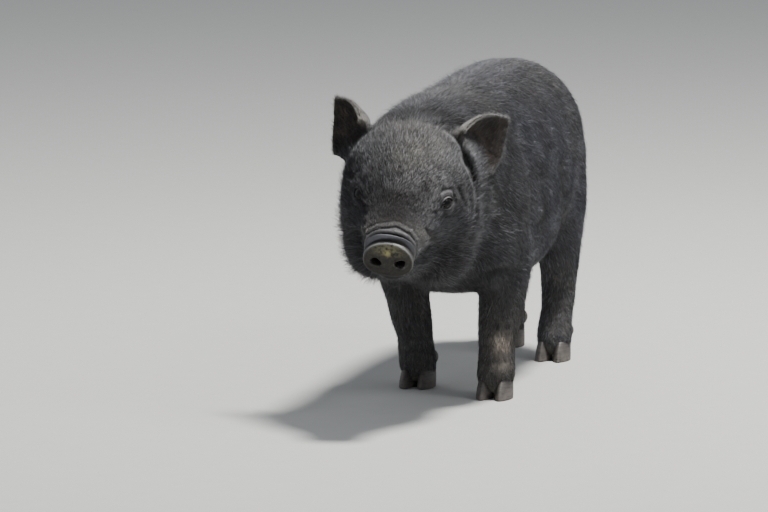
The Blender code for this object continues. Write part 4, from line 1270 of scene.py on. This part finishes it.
def muzzle(p):
    """The snout's sides and the upper lip."""
    return p.snout * (p.local[:, 1] < 0.051) * step(-p.local[:, 2], -0.010, 0.010)


# Long bent bristles over the flat coat: which points they grow from, how many, their length, width and rise
# in degrees, and how pale they are.
LONG_HAIRS = {
    "jowl_hairs": (jowls, 5600, 0.0092, 0.00021, 40, 0.0),
    "beard_hairs": (lambda p: p.head * step(-p.local[:, 2], 0.026, 0.040), 4200, 0.0135, 0.00023, 54, 0.0),
    "nape_hairs": (lambda p: p.crest * step(-p.points[:, 1], -0.10, 0.05), 3600, 0.0115, 0.00023, 36, 0.0),
    "body_hairs": (lambda p: (1 - p.head) * (1 - p.leg) * (1 - p.ear), 7600, 0.0088, 0.00022, 25, 0.0),
    "ear_hairs": (ear_inside, 800, 0.0062, 0.00016, 24, 0.22),
    "ear_fringe": (ear_rim, 4400, 0.0032, 0.00015, 24, 0.20),
    "tail_tassel": (tail_end, 420, 0.0130, 0.00020, 12, 0.0),
    "coronet_fringe": (lambda p: between(p.points[:, 2], 0.0125, 0.0200), 2600, 0.0052, 0.00018, 12, 0.0),
    "snout_whiskers": (muzzle, 150, 0.0085, 0.00020, 40, 0.2),
}


# Half the size of a dewclaw, and how far its top leans.
DEWCLAW_HALF = (0.0034, 0.0044, 0.0060)
DEWCLAW_TILT = math.radians(35)


# ---------------------------------------------------------------- one operator for each piece
class PigletOperator:
    """What the piece operators share: one undo step."""

    bl_options = {"REGISTER", "UNDO"}


class PIGLET_OT_skin(PigletOperator, bpy.types.Operator):
    """Makes the one skin that replaces every node of flesh"""

    bl_idname = "piglet.skin"
    bl_label = "Skin"

    # How far the solids of the eyes are grown and those of the claws drawn in before the weld, how often the
    # surface is smoothed, and how strongly the weights hold the thinning back.
    eye_growth = 0.0006
    claw_growth = -0.0005
    passes = 130
    hold = 0.00002

    def execute(self, context):
        settings = context.scene.piglet_skin
        parts = [welded_node(node, settings.closing) for node in FLESH]
        parts += [welded_node("eye_" + side, self.eye_growth) for side in SIDES]
        parts += [welded_node(node, self.claw_growth) for node in MAIN_CLAWS + DEWCLAWS]
        parts += [ear_mesh(side) for side in SIDES]
        skin = joined("skin", parts)
        weld = skin.modifiers.new("weld", "REMESH")
        weld.mode = "VOXEL"
        weld.voxel_size = settings.voxel
        settle(skin)
        places = Places(read(skin.data.vertices, "co", 3))
        soft = 1.0 - 0.72 * places.head - 0.20 * places.snout - 0.55 * places.leg - 0.30 * places.foot
        relax(skin, self.passes, np.clip(soft, 0.05, 1.0) * (1 - 0.93 * places.ear))
        places = Places(read(skin.data.vertices, "co", 3))
        fine = np.maximum(places.ear, step(places.local[:, 1], -0.040, -0.015))
        thin = skin.modifiers.new("thin", "DECIMATE")
        thin.ratio = min(1.0, settings.triangles / (2.0 * len(skin.data.polygons)))
        thin.vertex_group = weight_by(skin, "coarser", np.maximum(0.1, 1.0 - 0.9 * fine))
        thin.vertex_group_factor = self.hold
        settle(skin)
        skin.vertex_groups.clear()
        for level in range(3):
            refine(skin, self.fine_places(read(skin.data.vertices, "co", 3), level))
        sculpt(skin)
        skin.data.shade_smooth()
        skin.data.materials.clear()
        skin.data.materials.append(skin_finish())
        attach(skin, "root")
        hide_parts(*FLESH, "ear_left", "ear_right")
        return {"FINISHED"}

    def fine_places(self, points, level):
        """Which points need a finer mesh: those about the eyes, snout and folds at first, then fewer."""
        near = np.zeros(len(points), bool)
        for axes in EYE_AXES.values():
            local = axes.inside(points)
            near |= (np.hypot(local[:, 0], local[:, 1]) < (0.0125, 0.0100, 0.0080)[level]) & (local[:, 2] > 0)
        local = HEAD.inside(points)
        if level < 2:
            near |= (local[:, 1] > (0.0395, 0.0425)[level]) & (local[:, 2] > -0.008) & (local[:, 1] < 0.060)
        if level == 0:
            for folds, inside in ((HEAD_FOLDS, local), (BODY_FOLDS, points)):
                outward = np.abs(inside) * (1.0, 0.0, 0.0) + inside * (0.0, 1.0, 1.0)
                for fold in folds.values():
                    if fold["width"] < 0.005:
                        near |= fold_push(outward, fold)[1] > 0.12
        return near


class PIGLET_OT_eyes(PigletOperator, bpy.types.Operator):
    """Makes the two eyeballs"""

    bl_idname = "piglet.eyes"
    bl_label = "Eyes"

    def execute(self, context):
        finish = eye_finish()
        angle, turn = ball_angles(64, 72, 0.02, math.pi - 0.05)
        radius = EYE_RADIUS - 0.0001 + 0.0003 * (1 - step(angle, 0.30, 0.85))
        ways = np.stack([np.sin(angle) * np.cos(turn), np.sin(angle) * np.sin(turn), np.cos(angle)], axis=-1)
        for side, axes in EYE_AXES.items():
            points, faces = closed_strip(axes.outside(radius[..., None] * ways))
            eye = new_object("eyeball_" + side, points, faces, finish)
            put(eye, "from_pupil", np.append(angle.ravel(), (0.0, math.pi)))
            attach(eye, "root")
            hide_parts("eye_" + side)
        return {"FINISHED"}


class PIGLET_OT_nose(PigletOperator, bpy.types.Operator):
    """Makes the rooting disc with its two nostrils"""

    bl_idname = "piglet.nose"
    bl_label = "Rooting disc"

    def outline(self):
        """Rings over the disc's face, round its rim and back over its first fold, on a rounded oval, as x, z,
        the share of the outline, the depth behind the face and how far up each point is."""
        turn = np.linspace(0, WHOLE_TURN, 216, endpoint=False)
        c, s = np.cos(turn), np.sin(turn)
        oval_x = np.sign(c) * np.abs(c) ** (2 / DISC_ROUNDNESS)
        oval_z = np.sign(s) * np.abs(s) ** (2 / DISC_ROUNDNESS)
        top = step(s, -0.20, 0.75)[None]
        rim, fold = np.array(DISC_RIM).T, np.array(DISC_FOLD).T
        flat = np.linspace(0.01, 0.91, 66)
        share = np.concatenate([flat, rim[0], fold[0]])[:, None] + 0 * top
        back = np.concatenate([0 * flat, rim[1], fold[1]])[:, None] + 0 * top
        # Below, the crack and the fold run out into the plain side of the disc.
        behind = back > 0.0033
        share = np.where(behind, 0.990 + (share - 0.990) * top, share)
        sway = 0.0006 * np.sin(3.0 * turn + 0.8)[None] * step(back, 0.0034, 0.0047)
        back = np.where(behind, back + sway, back)
        rear = step(back, 0.0030, 0.0085)
        x = share * oval_x * (DISC_HALF[0] + (SNOUT_HALF[0] - DISC_HALF[0]) * rear)
        z = share * oval_z * (DISC_HALF[1] + (SNOUT_HALF[1] - DISC_HALF[1]) * rear)
        return x, z, share, back, top

    def nostrils(self, x, z):
        """Both nostrils' depth, raised edges and wet rims, which carry a painted highlight: each falls off
        with the distance from its middle in its own leaning oval, whose edge wanders three times round."""
        depth, swell, wet = np.zeros_like(x), np.zeros_like(x), np.zeros_like(x)
        for side in SIDES.values():
            across, up = (x - NOSTRIL_AT[0] * side) * side, z - NOSTRIL_AT[1]
            away = np.hypot((across - 0.35 * up) / NOSTRIL_HALF[0], up / NOSTRIL_HALF[1])
            away = away + 0.10 * np.sin(3 * np.arctan2(up, across) + 0.9 + side) * step(away, 0.3, 0.9)
            depth += NOSTRIL_DEPTH * (1 - step(away, 0.30, 1.10))
            wet = np.maximum(wet, hump(away, 1.05, 0.30) * step(-up, -0.0005, 0.0015))
            swell += 0.00055 * hump(away, 1.35, 0.32)
        return depth, swell, wet

    def execute(self, context):
        x, z, share, back, top = self.outline()
        depth, swell, wet = self.nostrils(x, z)
        face = 1 - step(share, 0.90, 0.96) * (back < 0.002) - (back >= 0.002)
        dish = 0.0005 * (1 - step(share, 0.35, 0.88))
        ridge = 0.0005 * hump(x, 0.0, 0.0022) * hump(z, 0.0, 0.010)
        high, low = np.clip(z / DISC_HALF[1], 0, 1), np.clip(-z / DISC_HALF[1], 0, 1)
        lean = (0.0026 * high**2.0 + 0.0012 * low**2.5) * (1 - step(back, 0.0050, 0.0075))
        notch = 0.0006 * hump(x, 0.0, 0.0042) * step(z, 0.008, 0.013) * (back < 0.002)
        lumps = 0.00016 * ripple(np.stack([x, back, z], axis=-1).reshape(-1, 3), 0.0034, 41).reshape(x.shape)
        lumps += 0.00010 * ripple(np.stack([x, back, z], axis=-1).reshape(-1, 3), 0.0014, 42).reshape(x.shape)
        y = DISC_FRONT - 0.0004 - back - lean + face * (swell + ridge - dish) + lumps - depth - notch
        y = np.minimum(y, np.where(back > 0.0090, SNOUT_END - 0.0010, 1.0))
        dropped = z - DISC_DROP * (1 - step(back, 0.0030, 0.0085))
        points, faces = closed_strip(HEAD.outside(np.stack([x, y, dropped], axis=-1)))
        disc = new_object("rooting_disc", points, faces, nose_finish())

        def mark(name, values):
            put(disc, name, np.append(np.broadcast_to(values, x.shape).ravel(), (0, 0)))

        # Painted shade: the crack behind the rim and the fold's far side under the snout's skin, then the
        # nostrils.
        crack = hump(back, 0.0045, 0.0005) * top + step(back, 0.0085, 0.0093)
        edge = 0.8 * hump(back, 0.0005, 0.0008) * (share > 0.94) + 0.15 * hump(back, 0.0026, 0.0012)
        bare_fold = step(back, 0.0045, 0.0053) * (1 - step(back, 0.0074, 0.0084)) * top
        mark("nostril_shade", np.clip(depth / NOSTRIL_DEPTH * 1.25 + 0.8 * crack, 0, 1))
        mark("mud", step(z, 0.0010, 0.0085) * hump(x, 0.0005, 0.0105) * (back < 0.0002))
        mark("yellow", hump(np.hypot(x + 0.0004, z - 0.0066), 0.0, 0.0022) * (back < 0.0002))
        # The wet lower rims get a painted highlight as well as their gloss.
        mark("wet", wet)
        # The rim is paler on top: partly its pale line, partly a painted highlight where light falls from
        # above.
        mark("lip", edge * (0.45 + 0.55 * top))
        # The fold behind the rim gets a painted bluish sheen as well as its own colour.
        mark("fold", bare_fold * (0.45 + 0.55 * hump(x, -0.0008, 0.0080)))
        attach(disc, "root")
        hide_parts("nose_disc")
        return {"FINISHED"}


class PIGLET_OT_claws(PigletOperator, bpy.types.Operator):
    """Makes the sixteen claws, each within its solid's box"""

    bl_idname = "piglet.claws"
    bl_label = "Claws"

    # Share of the claw's height, size and set-back, up its wall.
    wall = (
        (0.0, 0.88, 0.0), (0.03, 0.95, 0.0), (0.08, 1.0, 0.0),
        (0.5, 0.94, 0.0018), (0.9, 0.80, 0.0044), (1.0, 0.55, 0.0050),
    )

    def main_claw(self, node):
        """Rings up the wall: an oval that narrows to the toe, smaller and further back as it rises, its size
        rippled by growth rings."""
        low, high = box_of(node)
        share, size, back = through(self.wall, 30).T
        turn = np.linspace(0, WHOLE_TURN, 56, endpoint=False)
        c, s = np.cos(turn)[None], np.sin(turn)[None]
        toe = np.where(s < 0, 0.56, 0.44)
        length = high[1] - low[1]
        narrow = 1.0 - 0.34 * np.clip(-s, 0, 1) ** 2
        size = (size * (1 + 0.012 * np.sin(share * 42.0)))[:, None]
        x = (low[0] + high[0]) / 2 + c * narrow * (high[0] - low[0]) / 2 * size
        y = low[1] + 0.56 * length + back[:, None] + s * toe * length * size
        z = low[2] + (high[2] - low[2]) * share[:, None] + 0 * x
        points, faces = closed_strip(np.stack([x, y, z], axis=-1))
        worn = np.maximum(1 - step(z, 0.002, 0.010), 0.6 * step(-s, 0.4, 1.0) * (1 - step(z, 0.008, 0.015)))
        return points, faces, np.append(worn.ravel(), (1.0, 0.0))

    def dewclaw(self, node):
        """A tilted ellipsoid whose lower end is drawn to a blunt point."""
        low, high = box_of(node)
        middle = (low + high) / 2
        angle, turn = ball_angles(22, 28, 0.08, math.pi - 0.08)
        taper = 1.0 - 0.30 * step(-np.cos(angle), 0.0, 1.0)
        x = np.sin(angle) * np.cos(turn) * taper * DEWCLAW_HALF[0]
        y = np.sin(angle) * np.sin(turn) * taper * DEWCLAW_HALF[1]
        z = np.cos(angle) * DEWCLAW_HALF[2]
        c, s = math.cos(DEWCLAW_TILT), math.sin(DEWCLAW_TILT)
        points, faces = closed_strip(middle + np.stack([x, y * c - z * s, y * s + z * c], axis=-1))
        return points, faces, np.append(0.5 * step(-np.cos(angle), 0.2, 1.0).ravel(), (0.0, 0.5))

    def execute(self, context):
        finish = claw_finish()
        for node in MAIN_CLAWS + DEWCLAWS:
            points, faces, worn = self.main_claw(node) if node in MAIN_CLAWS else self.dewclaw(node)
            claw = new_object(node.replace("claw", "horn"), points, faces, finish)
            put(claw, "worn", worn)
            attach(claw, "root")
            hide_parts(node)
        return {"FINISHED"}


class PIGLET_OT_coat(PigletOperator, bpy.types.Operator):
    """Grows the bristles on the skin, one piece for each region"""

    bl_idname = "piglet.coat"
    bl_label = "Coat"

    def execute(self, context):
        skin = bpy.data.objects["skin"]
        rng = np.random.default_rng(context.scene.piglet_coat.seed)
        finish = bristle_finish()
        places = Places(read(skin.data.vertices, "co", 3))
        bare = read(skin.data.attributes["bare"].data, "value", 1)[:, 0]
        crease = read(skin.data.attributes["crease"].data, "value", 1)[:, 0]
        grown = (1 - step(bare, 0.25, 0.7)) * (1 - step(crease, 0.6, 0.9))
        grown = grown * (places.local[:, 1] < SNOUT_END - 0.0015) * (places.points[:, 2] > CLAW_TOP)
        # Few grow deep in the ears.
        within = 0.80 * places.ear * places.ear_front * (1 - ear_rim(places))
        outside = 1 - within * step(places.ear_along, 0.12, 0.40)
        for name, (chosen, count) in COATS.items():
            density = np.clip(chosen(places), 0, 1) * grown * outside * (1 + 0.6 * places.head)
            self.grow(name, STRAIGHT, skin, rng, count, density, finish, bristle_sizes)
        for name, (chosen, count, length, width, rise, pale) in LONG_HAIRS.items():
            density = np.clip(chosen(places), 0, 1) * grown

            def sizes(here, rng):
                around = rng.uniform(0.55, 1.25, (3, len(here.points)))
                risen = np.radians(rise) * around[2]
                return length * around[0], width * around[1], risen, np.sin(risen) * 0.45

            self.grow(name, BENT, skin, rng, count, density, finish, sizes, pale)
        return {"FINISHED"}

    def grow(self, name, rings, skin, rng, count, density, finish, sizes, pale=0.0):
        """Roots, lies and sizes for one piece's bristles, and the piece itself."""
        count = count
        roots, normals, crease = roots_on(skin, rng, count, density)
        here = Places(roots)
        lie = lie_of(here, normals)
        lie = flat_to(lie + 0.20 * rng.normal(size=lie.shape), normals)
        paler = np.clip(pale + 0.36 * ear_rim(here), 0, 1) * rng.uniform(0.1, 1.0, count)
        shape, shade = sizes(here, rng), rng.random(count)
        add_bristles(name, rings, roots, normals, lie, *shape, shade, paler, crease, finish)


class PIGLET_OT_stage(PigletOperator, bpy.types.Operator):
    """Makes the floor, the lights and the camera"""

    bl_idname = "piglet.stage"
    bl_label = "Stage"

    # Where the camera looks, where the lights shine, half the floor's width, and the sky's colour and
    # strength.
    aim = np.array((-0.0480, -0.0280, 0.0957))
    middle = np.array((0.0, 0.0, 0.12))
    floor_half = 20.0
    sky = (0.86, 0.90, 0.96, 1.0)
    sky_strength = 0.58

    def light(self, name, azimuth, elevation, distance, size, power, colour):
        """An area light on a sphere round the pig, facing it, at an azimuth and elevation in degrees."""
        data = bpy.data.lights.new(name, "AREA")
        data.shape = "DISK"
        data.size = size
        data.energy = power
        data.color = colour
        made = bpy.data.objects.new(name, data)
        self.face(made, math.radians(azimuth), math.radians(elevation), distance, self.middle)

    def face(self, made, azimuth, elevation, distance, aim):
        """Sets an object at a distance from the aim, at an azimuth and elevation, and turns it to face it."""
        level = math.cos(elevation)
        back = np.array((math.sin(azimuth) * level, -math.cos(azimuth) * level, math.sin(elevation)))
        right = np.array((math.cos(azimuth), math.sin(azimuth), 0.0))
        turned = np.stack([right, np.cross(back, right), back], axis=1)
        place = Matrix.Translation(aim + back * distance)
        made.matrix_world = place @ Matrix(turned.tolist()).to_4x4()
        bpy.context.scene.collection.objects.link(made)

    def execute(self, context):
        stage = context.scene.piglet_stage
        camera = bpy.data.objects.new("camera", bpy.data.cameras.new("camera"))
        camera.data.lens = stage.lens
        camera.data.clip_start, camera.data.clip_end = 0.05, 100.0
        self.face(camera, stage.azimuth, stage.elevation, stage.distance, self.aim)
        context.scene.camera = camera
        corners = self.floor_half * np.array(((-1, -1, 0), (1, -1, 0), (1, 1, 0), (-1, 1, 0)))
        finish = Finish("stage_floor")
        grain = finish.noise(finish.place(), 60.0, 4.0)
        tone = finish.mix(grain, (0.40, 0.40, 0.385), (0.43, 0.43, 0.415))
        surface = finish.surface(Base_Color=tone, Roughness=0.85)
        floor = new_object("floor", corners, [np.array(((0, 1, 2, 3),))], surface)
        self.light("key", 118, 74, 2.0, size=0.36, power=110, colour=(1.0, 0.99, 0.96))
        self.light("side", 80, 40, 2.6, size=0.9, power=14, colour=(0.96, 0.98, 1.0))
        world = context.scene.world or bpy.data.worlds.new("world")
        context.scene.world = world
        world.use_nodes = True
        background = world.node_tree.nodes["Background"]
        background.inputs["Color"].default_value = self.sky
        background.inputs["Strength"].default_value = self.sky_strength
        return {"FINISHED"}


OPERATORS = (PIGLET_OT_skin, PIGLET_OT_eyes, PIGLET_OT_nose, PIGLET_OT_claws, PIGLET_OT_coat, PIGLET_OT_stage)


class PIGLET_PT_panel(bpy.types.Panel):
    """Lists the piece operators and their settings in the 3D view's sidebar"""

    bl_idname = "PIGLET_PT_panel"
    bl_label = "Piglet"
    bl_space_type = "VIEW_3D"
    bl_region_type = "UI"
    bl_category = "Piglet"

    def draw(self, context):
        for name, kind in SETTINGS.items():
            box = self.layout.box()
            for setting in kind.__annotations__:
                box.prop(getattr(context.scene, name), setting)
        for operator in OPERATORS:
            self.layout.operator(operator.bl_idname)


def register():
    """Registers the settings, the operators and the panel, and gives the scene its settings."""
    for kind in (*SETTINGS.values(), *OPERATORS, PIGLET_PT_panel):
        bpy.utils.register_class(kind)
    for name, kind in SETTINGS.items():
        setattr(bpy.types.Scene, name, PointerProperty(type=kind))


def unregister():
    """Undoes what register does, in the other order."""
    for name in SETTINGS:
        delattr(bpy.types.Scene, name)
    for kind in (PIGLET_PT_panel, *reversed(OPERATORS), *reversed(SETTINGS.values())):
        bpy.utils.unregister_class(kind)


def main():
    """Makes every piece in order."""
    register()
    for operator in OPERATORS:
        group, name = operator.bl_idname.split(".")
        getattr(getattr(bpy.ops, group), name)()


if __name__ == "__main__":
    main()
